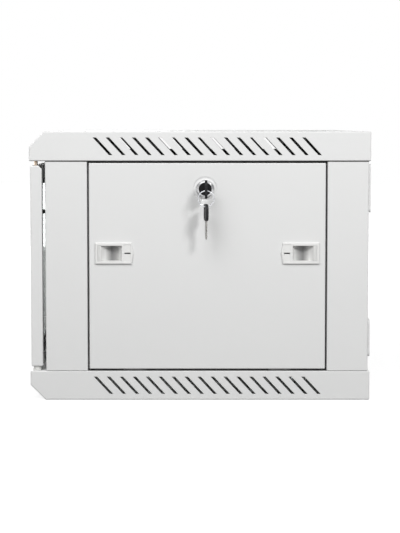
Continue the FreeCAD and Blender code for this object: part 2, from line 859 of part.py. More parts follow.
def hinge_bracket():
    """The upper hinge bracket inside the door: a U whose two ears hold the pin."""
    top = half_door - sheet - bracket_end_gap
    bottom = top - bracket_height
    wall = door_half_width - sheet
    end = hinge_x - bracket_reach
    outline = [(end, bottom), (wall, bottom), (wall, top), (end, top)]
    strip = bent_strip(outline, bracket_sheet, 2 * bracket_half_depth, 0)
    strip = strip.transformed(Matrix(1, 0, 0, 0, 0, 0, -1, hinge_y + bracket_half_depth, 0, 1, 0, 0))
    hole = upright(hinge_x, hinge_y, bottom - 1, top + 1, pin_radius + pin_running)
    return strip.cut(hole), bottom, top


def make_hinge():
    """Brackets, sprung upper pin with its collar and pull, coil spring, plain lower pin and its spacer."""
    bracket, bottom, top = hinge_bracket()
    brackets = [bracket, mirrored_z(bracket)]
    collar_top = top - bracket_sheet - collar_gap
    pin_low = bottom - pin_tail
    pin = fused([
        upright(hinge_x, hinge_y, pin_low, half_opening + sheet + pin_past_lip, pin_radius),
        upright(hinge_x, hinge_y, collar_top - collar_height, collar_top, collar_radius),
        Part.makeCylinder(pull_radius, pull_length, Vector(hinge_x, hinge_y, pin_low + pull_radius),
                          Vector(-1, 0, 0)),
    ])
    spring_low = bottom + bracket_sheet
    spring_length = collar_top - collar_height - spring_low
    pitch = (spring_length - spring_wire) / spring_turns
    helix = Part.makeHelix(pitch, pitch * spring_turns, spring_radius - spring_wire / 2)
    helix.translate(Vector(0, 0, spring_wire / 2))
    r, half = spring_radius - spring_wire / 2, spring_wire / 2
    corners = [(r - half, 0), (r + half, 0), (r + half, spring_wire), (r - half, spring_wire), (r - half, 0)]
    section = Part.makePolygon([Vector(x, 0, z) for x, z in corners])
    spring = Part.Wire(helix).makePipeShell([section], True, True)
    spring.translate(Vector(hinge_x, hinge_y, spring_low))
    lower_pin = fused([
        upright(hinge_x, hinge_y, -half_opening - sheet - pin_past_lip, -bottom, pin_radius),
        upright(hinge_x, hinge_y, -collar_top, -collar_top + collar_height, collar_radius),
    ])
    spacer = upright(hinge_x, hinge_y, -half_opening + seam, -half_door, spacer_radius)
    spacer = spacer.cut(upright(hinge_x, hinge_y, -half_opening, -half_door, pin_radius + pin_running))
    return brackets, pin, spring, lower_pin, spacer


def revolved(profile):
    """A closed profile of (radius, height) points turned about Z."""
    wire = Part.makePolygon([Vector(r, 0, z) for r, z in profile + profile[:1]])
    return Part.Face(wire).revolve(Vector(0, 0, 0), Vector(0, 0, 1), 360)


def make_lock(barrel, panel_thickness, cam_length):
    """A cam lock standing along +Z, with its panel's outer face at z = 0. Its cam points along +X.
    The keyway lies along Y."""
    seat = bezel_height - plug_seat
    body = revolved([
        (bezel_radius, 0), (bezel_radius, bezel_rim), (bezel_top_radius, bezel_height),
        (plug_radius + lock_running, bezel_height), (plug_radius + lock_running, seat),
        (core_radius + lock_running, seat), (core_radius + lock_running, -barrel),
        (barrel_radius, -barrel), (barrel_radius, 0),
    ])
    body = rounded_edges(body, bezel_rim_round,
                         lambda e: abs(e.BoundBox.ZMin - bezel_rim) < 0.01 and e.BoundBox.ZLength < 0.01)
    core_end = -barrel - lock_end_gap
    plug_top = bezel_height - plug_recess
    plug = revolved([
        (0, plug_top), (plug_radius, plug_top), (plug_radius, seat + lock_running),
        (core_radius, seat + lock_running), (core_radius, core_end), (0, core_end),
    ])
    half = shank_square / 2
    shank_end = core_end - cam_thickness - cam_play
    shank = box(-half, half, -half, half, shank_end, core_end)
    plug = fused([plug, shank])
    slot_x = key_thickness / 2 + keyway_slack
    slot_y = key_blade_width / 2 + keyway_slack
    plug = plug.cut(box(key_offset - slot_x, key_offset + slot_x, -slot_y, slot_y,
                        plug_top - key_inserted - keyway_depth_slack, bezel_height))
    nut_ring = hexagon(nut_flats, nut_height, Vector(0, 0, -panel_thickness - nut_height), Vector(0, 0, 1))
    nut_ring = nut_ring.cut(Part.makeCylinder(barrel_radius, 3 * nut_height, Vector(0, 0, -3 * nut_height)))
    arm = box(-cam_width / 2, cam_length, -cam_width / 2, cam_width / 2, core_end - cam_thickness, core_end)
    arm = rounded_edges(arm, cam_round, lambda e: abs(e.tangentAt(0).z) > 0.99)
    hole = half + cam_hole_slack
    arm = arm.cut(box(-hole, hole, -hole, hole, core_end - 3 * cam_thickness, core_end + 1))
    screw = Part.makeCone(cam_screw_foot, cam_screw_top, cam_screw_height, Vector(0, 0, shank_end),
                          Vector(0, 0, -1))
    return {"body": body, "plug": plug, "nut": nut_ring, "cam": [arm, screw]}


def make_key(along):
    """A key lying along -Z from its bow, with its plate normal along X: blade tip at z = along."""
    half = key_blade_width / 2
    bow_low = along + key_blade_length
    outline = [(-half, bow_low), (-half, along + key_tip), (-key_tip_half, along), (key_tip_half, along)]
    outline.append((half, along + key_tip))
    for i, bite in enumerate(key_bites):
        z = along + bite_first + bite_pitch * i
        low = z + bite_slope
        high = low + bite_flat
        outline += [(half, z), (half - bite, low), (half - bite, high), (half, high + bite_slope)]
    outline.append((half, bow_low))
    blade = prism([(-key_thickness / 2, y, z) for y, z in outline], (key_thickness, 0, 0))
    for side in (-1, 1):
        face = side * key_thickness / 2
        bottom = face - side * key_groove_depth
        blade = blade.cut(box(min(face, bottom), max(face, bottom), -key_groove_width, 0, along, bow_low))
    bow = box(-bow_thickness / 2, bow_thickness / 2, -bow_width / 2, bow_width / 2, bow_low,
              bow_low + bow_length)
    bow = rounded_edges(bow, bow_corner, lambda e: abs(e.tangentAt(0).x) > 0.99)
    rim = [e for e in bow.Edges if e.BoundBox.XLength < 0.01]
    bow = bow.makeFillet(bow_round, rim)
    hole_z = bow_low + bow_length - bow_hole_inset
    hole = Vector(-bow_thickness, 0, hole_z)
    bow = bow.cut(Part.makeCylinder(bow_hole_radius, 2 * bow_thickness, hole, Vector(1, 0, 0)))
    field_half = bow_width / 2 - bow_rim
    for side in (-1, 1):
        ends = (side * (bow_thickness / 2 - bow_field_depth), side * bow_thickness)
        field = box(min(ends), max(ends), -field_half, field_half, bow_low + bow_rim,
                    bow_low + bow_rim + bow_field_height)
        bow = bow.cut(rounded_edges(field, bow_field_corner, lambda e: abs(e.tangentAt(0).x) > 0.99))
    return blade, bow, hole_z


def to_right_side(shape):
    """Lock frame to the right panel: local Z out along +X, local Y up, local X to the rear."""
    return shape.transformed(Matrix(0, 0, 1, half_width - dish_depth, 1, 0, 0, lock_y, 0, 1, 0, lock_z))


def to_door(shape):
    """Lock frame to the door: local Z out along -Y, local X down, so that the open cam hangs down."""
    return shape.transformed(Matrix(0, 1, 0, door_lock_x, 0, 0, -1, door_front, -1, 0, 0, 0))


def make_latch():
    """A slide latch in its own frame: X towards the post, Y up, Z out of the panel, whose face is z = 0."""
    half_h = latch_height / 2
    tip = -latch_length / 2
    end = latch_length / 2
    bezel = prism([(end, -half_h, 0), (end, half_h, 0), (tip + latch_point, half_h, 0), (tip, 0, 0),
                   (tip + latch_point, -half_h, 0)], (0, 0, latch_bezel))
    bezel = rounded_edges(bezel, latch_edge_round, lambda e: e.BoundBox.ZMin > latch_bezel - 0.01)
    body_h = latch_body_height / 2
    floor = -(rebate + sheet + bolt_gap + bolt_thickness + latch_running)
    body = box(-latch_body_half, latch_body_half, -body_h, body_h, floor - latch_floor, 0)
    channel = body_h - latch_wall
    body = body.cut(box(-latch_body_half + latch_end_wall, latch_body_half + 1, -channel, channel, floor, 0))
    housing = fused([bezel, body])
    window_h = window_height / 2
    housing = housing.cut(box(window_inner, window_outer, -window_h, window_h, -0.01, latch_bezel + 1))
    pad_end = window_inner - pad_frame
    pad = box(tip + latch_point + pad_frame / 2, pad_end, -half_h + pad_frame, half_h - pad_frame,
              latch_bezel - pad_recess, latch_bezel + 1)
    mark_end = pad_end - pad_mark_gap
    half_mark = pad_mark_height / 2
    mark = box(mark_end - pad_mark_length, mark_end, -half_mark, half_mark, 0, latch_bezel + 1)
    housing = housing.cut(pad).cut(mark)
    return housing, make_latch_slider(floor, channel), make_latch_spring(floor)


def make_latch_slider(floor, channel):
    """The moving part: a block with a ribbed grip, a finger scoop, a spring groove under it and the bolt."""
    half = channel - latch_running
    inner = window_inner - slider_lap
    low = floor + latch_running
    block = box(inner, latch_body_half, -half, half, low, -latch_running)
    grip_half = window_height / 2 - grip_gap
    grip_end = window_outer - grip_gap
    grip_top = latch_bezel - grip_drop
    grip = [box(scoop_valley, grip_end, -grip_half, grip_half, low, grip_top)]
    for i in range(rib_count):
        rib = grip_end - (i + 1) * rib_pitch
        grip.append(box(rib, rib + rib_width, -grip_half + rib_pitch, grip_half - rib_pitch, 0,
                        grip_top + rib_height))
    block = fused([block] + grip)
    deep = -latch_running - scoop_depth
    scoop_half = half - scoop_wall
    valley = Vector(scoop_valley, -scoop_half, deep)
    outer = Vector(scoop_start, -scoop_half, grip_top)
    inside = Vector(window_inner + scoop_inset, -scoop_half, -latch_running)
    edges = []
    for a, b, sag in ((outer, valley, scoop_outer_sag), (valley, inside, scoop_inner_sag)):
        chord = (b - a).normalize()
        middle = (a + b) / 2 + Vector(-chord.z, 0, chord.x) * sag
        edges.append(Part.Arc(a, middle, b).toShape())
    above = Vector(0, 0, 2)
    edges.append(Part.LineSegment(inside, inside + above).toShape())
    edges.append(Part.LineSegment(inside + above, outer + above).toShape())
    edges.append(Part.LineSegment(outer + above, outer).toShape())
    scoop = Part.Face(Part.Wire(edges)).extrude(Vector(0, 2 * scoop_half, 0))
    block = block.cut(scoop)
    block = block.cut(box(inner - 1, spring_end, -spring_groove_half, spring_groove_half, low - 1,
                          low + spring_space))
    reach = latch_body_half + bolt_reach
    half_bolt = bolt_width / 2
    top = low + bolt_thickness
    root = latch_body_half - bolt_root
    side = [(root, low), (reach - bolt_bevel, low), (reach, low + bolt_bevel), (reach, top), (root, top)]
    return fused([block, prism([(x, -half_bolt, z) for x, z in side], (0, bolt_width, 0))])


def make_latch_spring(floor):
    """The bowed leaf that pushes the slider out."""
    x0, x1 = -latch_body_half + latch_end_wall, spring_end
    y = -spring_half_width
    low = floor + latch_running + spring_lift
    high = low + spring_space - spring_strip - spring_free
    middle = (x0 + x1) / 2
    t = spring_strip
    lower = Part.Arc(Vector(x0, y, low), Vector(middle, y, high), Vector(x1, y, low)).toShape()
    upper = Part.Arc(Vector(x0, y, low + t), Vector(middle, y, high + t), Vector(x1, y, low + t)).toShape()
    ends = [Part.LineSegment(Vector(x, y, low), Vector(x, y, low + t)).toShape() for x in (x0, x1)]
    return Part.Face(Part.Wire([lower, ends[1], upper, ends[0]])).extrude(Vector(0, 2 * spring_half_width, 0))


def latch_to_side(shape, rear):
    """Latch frame to the right panel. A front latch is the mirror image of a rear one."""
    edge = panel_back - latch_inset - latch_length / 2
    placed = shape.transformed(Matrix(0, 0, 1, half_width, 1, 0, 0, edge, 0, 1, 0, latch_z))
    if rear:
        return placed
    return placed.mirror(Vector(0, (panel_front + panel_back) / 2, 0), Vector(0, 1, 0))


def panel_solid(inset):
    """The right side panel as a solid block, drawn in by inset on every face but its open back."""
    back = half_width - panel_return - inset
    block = box(back, half_width - inset, panel_front + inset, panel_back - inset, -half_panel + inset,
                half_panel - inset)
    return rounded_edges(block, inner_bend + panel_sheet - inset,
                         lambda e: e.BoundBox.XMin > back + 0.01 or e.BoundBox.XLength > 1.0)


def lock_dish(below):
    """The dish pressed into the right panel round its lock, or, further below, the back of its sheet."""
    floor = -dish_depth - below
    inner = dish_radius - dish_slope
    if below:
        dish = revolved([(0, 0), (dish_radius, 0), (dish_radius, -below), (inner, floor), (0, floor)])
    else:
        dish = revolved([(0, 0.01), (dish_radius, 0.01), (inner, floor), (0, floor)])
    return dish.transformed(Matrix(0, 0, 1, half_width, 1, 0, 0, lock_y, 0, 1, 0, lock_z))


def make_side_panel():
    """The right side panel: a shallow tray with two foot tabs, cut for its lock and its two latches."""
    tray = panel_solid(0.0).cut(panel_solid(panel_sheet))
    tabs = []
    x0 = half_width - tab_setback
    for y in tab_middles():
        shoulder = tab_width / 2 + tab_shoulder
        tabs.append(box(x0, x0 + panel_sheet, y - shoulder, y + shoulder, -half_opening + seam,
                        -half_panel + panel_sheet))
        tabs.append(box(x0, x0 + panel_sheet, y - tab_width / 2, y + tab_width / 2, -half_panel - tab_drop,
                        -half_panel + panel_sheet))
    panel = fused([tray, lock_dish(panel_sheet)] + tabs).cut(lock_dish(0.0))
    lock_hole = Part.makeCylinder(barrel_radius + barrel_slack, 6, Vector(half_width - 4, lock_y, lock_z),
                                  Vector(1, 0, 0))
    cut_x = latch_body_half + latch_cut_slack
    cut_y = latch_body_height / 2 + latch_cut_slack
    cut = box(-cut_x, cut_x, -cut_y, cut_y, -4, 1)
    return panel.cut(lock_hole).cut(latch_to_side(cut, True)).cut(latch_to_side(cut, False))


def make_ring_and_spare(hole_x):
    """The split ring in the key's bow and the spare key hanging from it. hole_x is the bow hole's place."""
    y = lock_y + key_offset
    drop = bow_hole_radius - ring_wire_radius - ring_slack
    top = lock_z - drop
    ring = Part.makeTorus(ring_radius, ring_wire_radius, Vector(hole_x, y, top - ring_radius),
                          Vector(1, 0, 0))
    bottom = top - 2 * ring_radius
    blade, bow, hole_z = make_key(0.0)
    half_turn = Matrix(0, 1, 0, 0, 1, 0, 0, 0, 0, 0, 1, 0)
    turn = FreeCAD.Rotation(Vector(0, 0, 1), spare_turn)
    swing = FreeCAD.Placement(Vector(hole_x, y, bottom - drop - hole_z), turn)
    spare = [s.transformed(half_turn).transformed(swing.toMatrix()) for s in (blade, bow)]
    return ring, spare


def export(name, shapes):
    shapes = shapes if isinstance(shapes, list) else [shapes]
    solids = [solid for shape in shapes for solid in shape.Solids]
    whole = solids[0] if len(solids) == 1 else Part.makeCompound(solids)
    bad = [s for s in solids if not s.isValid() or s.Volume <= 0]
    if bad:
        print("check", name, len(bad), "solids are not valid")
    whole.exportStep("parts/" + name + ".step")


def main():
    os.makedirs("parts", exist_ok=True)
    top_pan, bottom_pan = make_pans()
    export("top_pan", top_pan)
    export("bottom_pan", bottom_pan)
    post = make_front_post()
    export("front_post_right", post)
    export("front_post_left", mirrored_x(post))
    export("back_pan", make_back_pan())
    export("wall_plates", make_wall_plates())

    rail = make_rack_rail()
    middle = (rail_front_y + rail_rear_y) / 2
    rear_rail = rail.mirror(Vector(0, middle, 0), Vector(0, 1, 0))
    export("rack_rail_front_right", rail)
    export("rack_rail_front_left", mirrored_x(rail))
    export("rack_rail_rear_right", rear_rail)
    export("rack_rail_rear_left", mirrored_x(rear_rail))
    strap = make_strap()
    for name, shape in (("upper", strap), ("lower", mirrored_z(strap))):
        export("depth_strap_" + name + "_right", shape)
        export("depth_strap_" + name + "_left", mirrored_x(shape))
    bolts, nuts = make_rail_bolts()
    export("rail_bolts", bolts)
    export("rail_nuts", nuts)
    export("frame_screws", make_frame_screws())
    cover = make_cable_cover()
    export("cable_cover_top", cover)
    export("cable_cover_bottom", mirrored_z(cover))
    export("cover_screws", make_cover_screws())
    export("earth_stud", make_earth_stud())

    export("door_frame", make_door_frame())
    export("door_glass", make_glass())
    export("glass_seal", make_glass_seal())
    clips, clip_screws = make_glass_clips()
    export("glass_clips", clips)
    export("clip_screws", clip_screws)
    export("door_bumpers", make_bumpers())
    brackets, pin, spring, lower_pin, spacer = make_hinge()
    export("hinge_brackets", brackets)
    export("hinge_pin_upper", pin)
    export("hinge_spring", spring)
    export("hinge_pin_lower", lower_pin)
    export("hinge_spacer", spacer)
    door_lock = make_lock(door_barrel, sheet, door_cam_length)
    for piece, shapes in door_lock.items():
        shapes = shapes if isinstance(shapes, list) else [shapes]
        export("door_lock_" + piece, [to_door(s) for s in shapes])

    panel = make_side_panel()
    side_lock = make_lock(side_barrel, panel_sheet, side_cam_length)
    housing, slider, leaf = make_latch()
    for side, place in (("right", lambda s: s), ("left", mirrored_x)):
        export("side_panel_" + side, place(panel))
        for piece, shapes in side_lock.items():
            shapes = shapes if isinstance(shapes, list) else [shapes]
            export("side_lock_" + piece + "_" + side, [place(to_right_side(s)) for s in shapes])
        export("latch_housings_" + side, [place(latch_to_side(housing, rear)) for rear in (True, False)])
        export("latch_springs_" + side, [place(latch_to_side(leaf, rear)) for rear in (True, False)])
        for end, rear in (("rear", True), ("front", False)):
            export("latch_slider_" + side + "_" + end, place(latch_to_side(slider, rear)))

    blade, bow, hole = make_key(bezel_height - plug_recess - key_inserted)
    beside = Matrix(1, 0, 0, key_offset, 0, 1, 0, 0, 0, 0, 1, 0)
    export("lock_key_blade", to_right_side(blade.transformed(beside)))
    export("lock_key_bow", to_right_side(bow.transformed(beside)))
    ring, spare = make_ring_and_spare(half_width - dish_depth + hole)
    export("key_ring", ring)
    export("spare_key_blade", spare[0])
    export("spare_key_bow", spare[1])
    print("height", round(2 * half_height, 2), "front post face at", round(post_front, 2))


main()
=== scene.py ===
import math

import bmesh
import bpy
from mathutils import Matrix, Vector


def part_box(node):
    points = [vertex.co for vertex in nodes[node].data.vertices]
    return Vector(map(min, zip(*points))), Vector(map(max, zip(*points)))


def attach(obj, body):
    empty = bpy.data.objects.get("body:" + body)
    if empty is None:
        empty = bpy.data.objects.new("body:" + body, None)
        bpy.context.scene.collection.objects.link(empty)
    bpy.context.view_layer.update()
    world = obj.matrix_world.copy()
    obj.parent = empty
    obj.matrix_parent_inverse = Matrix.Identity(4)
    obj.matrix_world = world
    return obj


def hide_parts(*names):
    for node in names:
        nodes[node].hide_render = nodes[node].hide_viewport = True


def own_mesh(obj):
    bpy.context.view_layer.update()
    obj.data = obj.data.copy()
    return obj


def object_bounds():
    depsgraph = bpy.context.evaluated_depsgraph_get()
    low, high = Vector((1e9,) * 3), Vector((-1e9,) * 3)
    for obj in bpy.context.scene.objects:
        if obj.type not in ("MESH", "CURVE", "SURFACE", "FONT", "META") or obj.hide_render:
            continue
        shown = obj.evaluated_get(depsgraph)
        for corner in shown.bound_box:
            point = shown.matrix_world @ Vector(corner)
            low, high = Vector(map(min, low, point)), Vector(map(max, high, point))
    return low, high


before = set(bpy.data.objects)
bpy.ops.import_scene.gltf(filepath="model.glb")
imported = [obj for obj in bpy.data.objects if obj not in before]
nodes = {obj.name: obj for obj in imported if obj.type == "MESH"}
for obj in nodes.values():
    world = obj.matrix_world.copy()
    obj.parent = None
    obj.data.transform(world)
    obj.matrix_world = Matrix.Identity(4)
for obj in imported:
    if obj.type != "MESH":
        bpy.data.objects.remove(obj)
cadLow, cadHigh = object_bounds()
print("frame loaded,", len(nodes), "nodes")


# Node tree tools: values are given by socket name or number, and may be other nodes' outputs
def addNode(tree, kind, values=None, **options):
    node = tree.nodes.new(kind)
    for option, choice in options.items():
        setattr(node, option, choice)
    for name, value in (values or {}).items():
        if isinstance(value, bpy.types.NodeSocket):
            tree.links.new(value, node.inputs[name])
        else:
            node.inputs[name].default_value = value
    return node


def calc(tree, operation, *terms):
    return addNode(tree, "ShaderNodeMath", dict(enumerate(terms)), operation=operation).outputs[0]


def remap(tree, value, fromMin, fromMax, toMin, toMax):
    return addNode(tree, "ShaderNodeMapRange", {"Value": value, "From Min": fromMin, "From Max": fromMax,
                                                "To Min": toMin, "To Max": toMax}).outputs[0]


def mixColours(tree, amount, first, second):
    mixer = addNode(tree, "ShaderNodeMix", {0: amount}, data_type="RGBA")
    for number, colour in ((6, first), (7, second)):
        if isinstance(colour, bpy.types.NodeSocket):
            tree.links.new(colour, mixer.inputs[number])
        else:
            mixer.inputs[number].default_value = (*colour, 1)
    return mixer.outputs[2]


# Surface tools
def newMaterial(name, **constants):
    material = bpy.data.materials.new(name)
    material.use_nodes = True
    shader = material.node_tree.nodes["Principled BSDF"]
    for socket, value in constants.items():
        shader.inputs[socket.replace("_", " ")].default_value = value
    return material, material.node_tree, shader


def grain(tree, scale, stretch=(1, 1, 1), detail=2.0):
    place = addNode(tree, "ShaderNodeTexCoord").outputs["Object"]
    place = addNode(tree, "ShaderNodeMapping", {"Vector": place, "Scale": stretch}).outputs[0]
    noise = addNode(tree, "ShaderNodeTexNoise", {"Vector": place, "Scale": scale, "Detail": detail})
    return noise.outputs[0]


def roundedNormal(tree, radius):
    return addNode(tree, "ShaderNodeBevel", {"Radius": radius}, samples=4).outputs[0]


def edgeMask(tree, normal, reach):
    true = addNode(tree, "ShaderNodeNewGeometry").outputs["True Normal"]
    along = addNode(tree, "ShaderNodeVectorMath", {0: normal, 1: true}, operation="DOT_PRODUCT")
    return remap(tree, along.outputs["Value"], 1.0, 1.0 - reach, 0.0, 1.0)


def bumped(tree, height, depth, strength, normal=None):
    values = {"Height": height, "Distance": depth, "Strength": strength}
    if normal is not None:
        values["Normal"] = normal
    return addNode(tree, "ShaderNodeBump", values).outputs[0]


def placeParts(tree):
    # x, y and z of the shaded point, in its piece's own frame
    place = addNode(tree, "ShaderNodeTexCoord").outputs["Object"]
    return addNode(tree, "ShaderNodeSeparateXYZ", {0: place}).outputs


def linkLooks(tree, shader, colour, roughness, normal):
    for socket, value in (("Base Color", colour), ("Roughness", roughness), ("Normal", normal)):
        tree.links.new(value, shader.inputs[socket])


# Powder coat on the folded sheets, with painted shade on the cabinet's inner faces
powderCoat = {"colour": (0.735, 0.737, 0.732), "specular": 0.3, "coat": 0.06, "coatRoughness": 0.35,
              "cloud": (0.715, 0.718, 0.715), "cloudScale": 7, "cloudDetail": 3.0,
              "edge": (0.83, 0.83, 0.825), "edgeRadius": 0.0007, "edgeReach": 0.3,
              "wearScale": 120, "wearFrom": (0.35, 0.6), "wear": (0.3, 0.8),
              "inside": (0.33, 0.33, 0.328), "shadedShell": (0.2994, 0.1771), "insideFront": -0.428,
              "insideBack": -0.0038, "insideBlur": 0.0004,
              "seam": (0.04, 0.04, 0.04), "seamHeight": 0.1387, "seamWidth": 0.0008, "seamBlur": 0.4,
              "peelScale": 620, "peelDepth": 0.00006, "peelStrength": 0.5,
              "grainScale": 2600, "grainDepth": 0.00002, "grainStrength": 0.4,
              "sheenScale": 45, "sheenFrom": (0.3, 0.7), "roughness": (0.44, 0.56)}


def insideMask(tree, halfWidth, halfHeight):
    # painted shade: the coat is darkened on the cabinet's inner faces, where little light reaches
    place = placeParts(tree)
    front, back, blur = powderCoat["insideFront"], powderCoat["insideBack"], powderCoat["insideBlur"]
    across = remap(tree, calc(tree, "ABSOLUTE", place[0]), halfWidth + blur, halfWidth - blur, 0.0, 1.0)
    upward = remap(tree, calc(tree, "ABSOLUTE", place[2]), halfHeight + blur, halfHeight - blur, 0.0, 1.0)
    behindDoor = remap(tree, place[1], front - blur, front + blur, 0.0, 1.0)
    beforeWall = remap(tree, place[1], back + blur, back - blur, 0.0, 1.0)
    sideways = calc(tree, "MULTIPLY", across, upward)
    return calc(tree, "MULTIPLY", sideways, calc(tree, "MULTIPLY", behindDoor, beforeWall))


def seamMask(tree, height, width):
    # the narrow shade along the seam between the top pan and the side panel
    off = calc(tree, "ABSOLUTE", calc(tree, "SUBTRACT", placeParts(tree)[2], height))
    blur = width * powderCoat["seamBlur"]
    return remap(tree, off, width - blur, width + blur, 1.0, 0.0)


def makePowderCoat(name, shadedShell=None):
    s = powderCoat
    material, tree, shader = newMaterial(name, Specular_IOR_Level=s["specular"], Coat_Weight=s["coat"],
                                         Coat_Roughness=s["coatRoughness"])
    rounded = roundedNormal(tree, s["edgeRadius"])
    wear = remap(tree, grain(tree, s["wearScale"]), *s["wearFrom"], *s["wear"])
    worn = calc(tree, "MULTIPLY", edgeMask(tree, rounded, s["edgeReach"]), wear)
    clouds = grain(tree, s["cloudScale"], detail=s["cloudDetail"])
    tone = mixColours(tree, clouds, s["cloud"], s["colour"])
    # painted shade darkens the cabinet's inner faces
    if shadedShell:
        tone = mixColours(tree, insideMask(tree, *shadedShell), tone, s["inside"])
    tone = mixColours(tree, worn, tone, s["edge"])
    if shadedShell:
        tone = mixColours(tree, seamMask(tree, s["seamHeight"], s["seamWidth"]), tone, s["seam"])
    peel = bumped(tree, grain(tree, s["peelScale"]), s["peelDepth"], s["peelStrength"], rounded)
    fine = bumped(tree, grain(tree, s["grainScale"]), s["grainDepth"], s["grainStrength"], peel)
    sheen = remap(tree, grain(tree, s["sheenScale"]), *s["sheenFrom"], *s["roughness"])
    linkLooks(tree, shader, tone, sheen, fine)
    return material


# Metals: a rolled or tumbled grain that runs one way, a little mottling, and rubbed edges
metalGrain = {"edgeRadius": 0.0003, "edgeReach": 0.35, "rub": 0.6, "mottleFrom": (0.35, 0.65),
              "lineScale": 55, "lineDetail": 4.0, "lineStrength": 0.6, "lineFrom": (0.3, 0.7)}
metals = {
    "zincSheet": {"colour": (0.52, 0.54, 0.56), "mottle": (0.43, 0.455, 0.485), "mottleScale": 85,
                  "edge": 0.7, "stretch": (60, 4, 1), "roughness": (0.3, 0.46), "depth": 0.00002},
    "brightZinc": {"colour": (0.62, 0.63, 0.65), "mottle": (0.54, 0.55, 0.58), "mottleScale": 260,
                   "edge": 0.8, "stretch": (6, 6, 6), "roughness": (0.2, 0.34), "depth": 0.000015},
    "springSteel": {"colour": (0.33, 0.33, 0.34), "mottle": (0.26, 0.26, 0.27), "mottleScale": 300,
                    "edge": 0.5, "stretch": (3, 50, 3), "roughness": (0.26, 0.4), "depth": 0.00001},
    "nickelKey": {"colour": (0.42, 0.415, 0.4), "mottle": (0.2, 0.195, 0.185), "mottleScale": 420,
                  "edge": 0.9, "stretch": (4, 4, 70), "roughness": (0.18, 0.36), "depth": 0.00001},
    "lockChrome": {"colour": (0.86, 0.86, 0.87), "mottle": (0.34, 0.34, 0.35), "mottleScale": 110,
                   "edge": 0.9, "stretch": (2, 2, 2), "roughness": (0.08, 0.17), "depth": 0.000002},
    "yellowZinc": {"colour": (0.5, 0.42, 0.34), "mottle": (0.36, 0.27, 0.2), "mottleScale": 240,
                   "edge": 0.6, "stretch": (6, 6, 6), "roughness": (0.26, 0.4), "depth": 0.000015},
}


def makeMetal(name):
    s = {**metalGrain, **metals[name]}
    material, tree, shader = newMaterial(name, Metallic=1.0)
    rounded = roundedNormal(tree, s["edgeRadius"])
    lines = grain(tree, s["lineScale"], s["stretch"], s["lineDetail"])
    mottling = remap(tree, grain(tree, s["mottleScale"]), *s["mottleFrom"], 0.0, 1.0)
    rubbed = calc(tree, "MULTIPLY", edgeMask(tree, rounded, s["edgeReach"]), s["rub"])
    tone = mixColours(tree, mottling, s["mottle"], s["colour"])
    tone = mixColours(tree, rubbed, tone, (s["edge"],) * 3)
    sheen = remap(tree, lines, *s["lineFrom"], *s["roughness"])
    linkLooks(tree, shader, tone, sheen, bumped(tree, lines, s["depth"], s["lineStrength"], rounded))
    return material


# Moulded plastics and rubber: a fine spark-eroded grain, and a little dust or shine on the edges
mouldingWear = {"edgeReach": 0.3, "rubScale": 300, "rubFrom": (0.4, 0.6), "rub": (0.2, 0.9),
                "dustScale": 60, "dustDetail": 4.0, "dustFrom": (0.5, 0.8), "dust": (0.0, 0.3),
                "sheenScale": 80, "sheenFrom": (0.3, 0.7), "strength": 0.5}
mouldings = {
    # the latch plastic has painted shade deep in its finger pockets
    "latchPlastic": {"colour": (0.75, 0.75, 0.738), "worn": (0.82, 0.82, 0.81), "grain": 1900,
                     "depth": 0.00003, "pocketShade": (0.2, 0.2, 0.2), "pocketShadeDepths": (0.2958, 0.2905),
                     "roughness": (0.4, 0.52), "edgeRadius": 0.0005, "gloss": 0.45},
    "keyPlastic": {"colour": (0.008, 0.008, 0.009), "worn": (0.03, 0.03, 0.031), "grain": 1500,
                   "depth": 0.00004, "roughness": (0.4, 0.55), "edgeRadius": 0.0004, "gloss": 0.22},
    "lockBlack": {"colour": (0.005, 0.005, 0.006), "worn": (0.05, 0.05, 0.05), "grain": 1200,
                  "depth": 0.00002, "roughness": (0.24, 0.36), "edgeRadius": 0.0003, "gloss": 0.2},
    "spacerNylon": {"colour": (0.7, 0.7, 0.68), "worn": (0.78, 0.78, 0.76), "grain": 900,
                    "depth": 0.00003, "roughness": (0.42, 0.55), "edgeRadius": 0.0003, "gloss": 0.4},
    "blackRubber": {"colour": (0.018, 0.018, 0.018), "worn": (0.05, 0.05, 0.048), "grain": 700,
                    "depth": 0.00005, "roughness": (0.7, 0.85), "edgeRadius": 0.0003, "gloss": 0.25},
}


def makeMoulding(name):
    s = {**mouldingWear, **mouldings[name]}
    material, tree, shader = newMaterial(name, Specular_IOR_Level=s["gloss"])
    rounded = roundedNormal(tree, s["edgeRadius"])
    rub = remap(tree, grain(tree, s["rubScale"]), *s["rubFrom"], *s["rub"])
    rubbed = calc(tree, "MULTIPLY", edgeMask(tree, rounded, s["edgeReach"]), rub)
    dust = remap(tree, grain(tree, s["dustScale"], detail=s["dustDetail"]), *s["dustFrom"], *s["dust"])
    tone = mixColours(tree, dust, s["colour"], s["worn"])
    tone = mixColours(tree, rubbed, tone, s["worn"])
    if "pocketShade" in s:
        # painted shade: the finger pockets darken with depth
        inward = calc(tree, "ABSOLUTE", placeParts(tree)[0])
        tone = mixColours(tree, remap(tree, inward, *s["pocketShadeDepths"], 0.0, 1.0), tone, s["pocketShade"])
    sheen = remap(tree, grain(tree, s["sheenScale"]), *s["sheenFrom"], *s["roughness"])
    fine = bumped(tree, grain(tree, s["grain"]), s["depth"], s["strength"], rounded)
    linkLooks(tree, shader, tone, sheen, fine)
    return material


doorGlass = {"tint": (0.9, 0.945, 0.93, 1), "refraction": 1.51,
             "hazeScale": 9, "hazeDetail": 4.0, "hazeFrom": (0.45, 0.8), "haze": (0.0, 0.035),
             "waveScale": 2.2, "waveDepth": 0.0004, "waveStrength": 0.12}


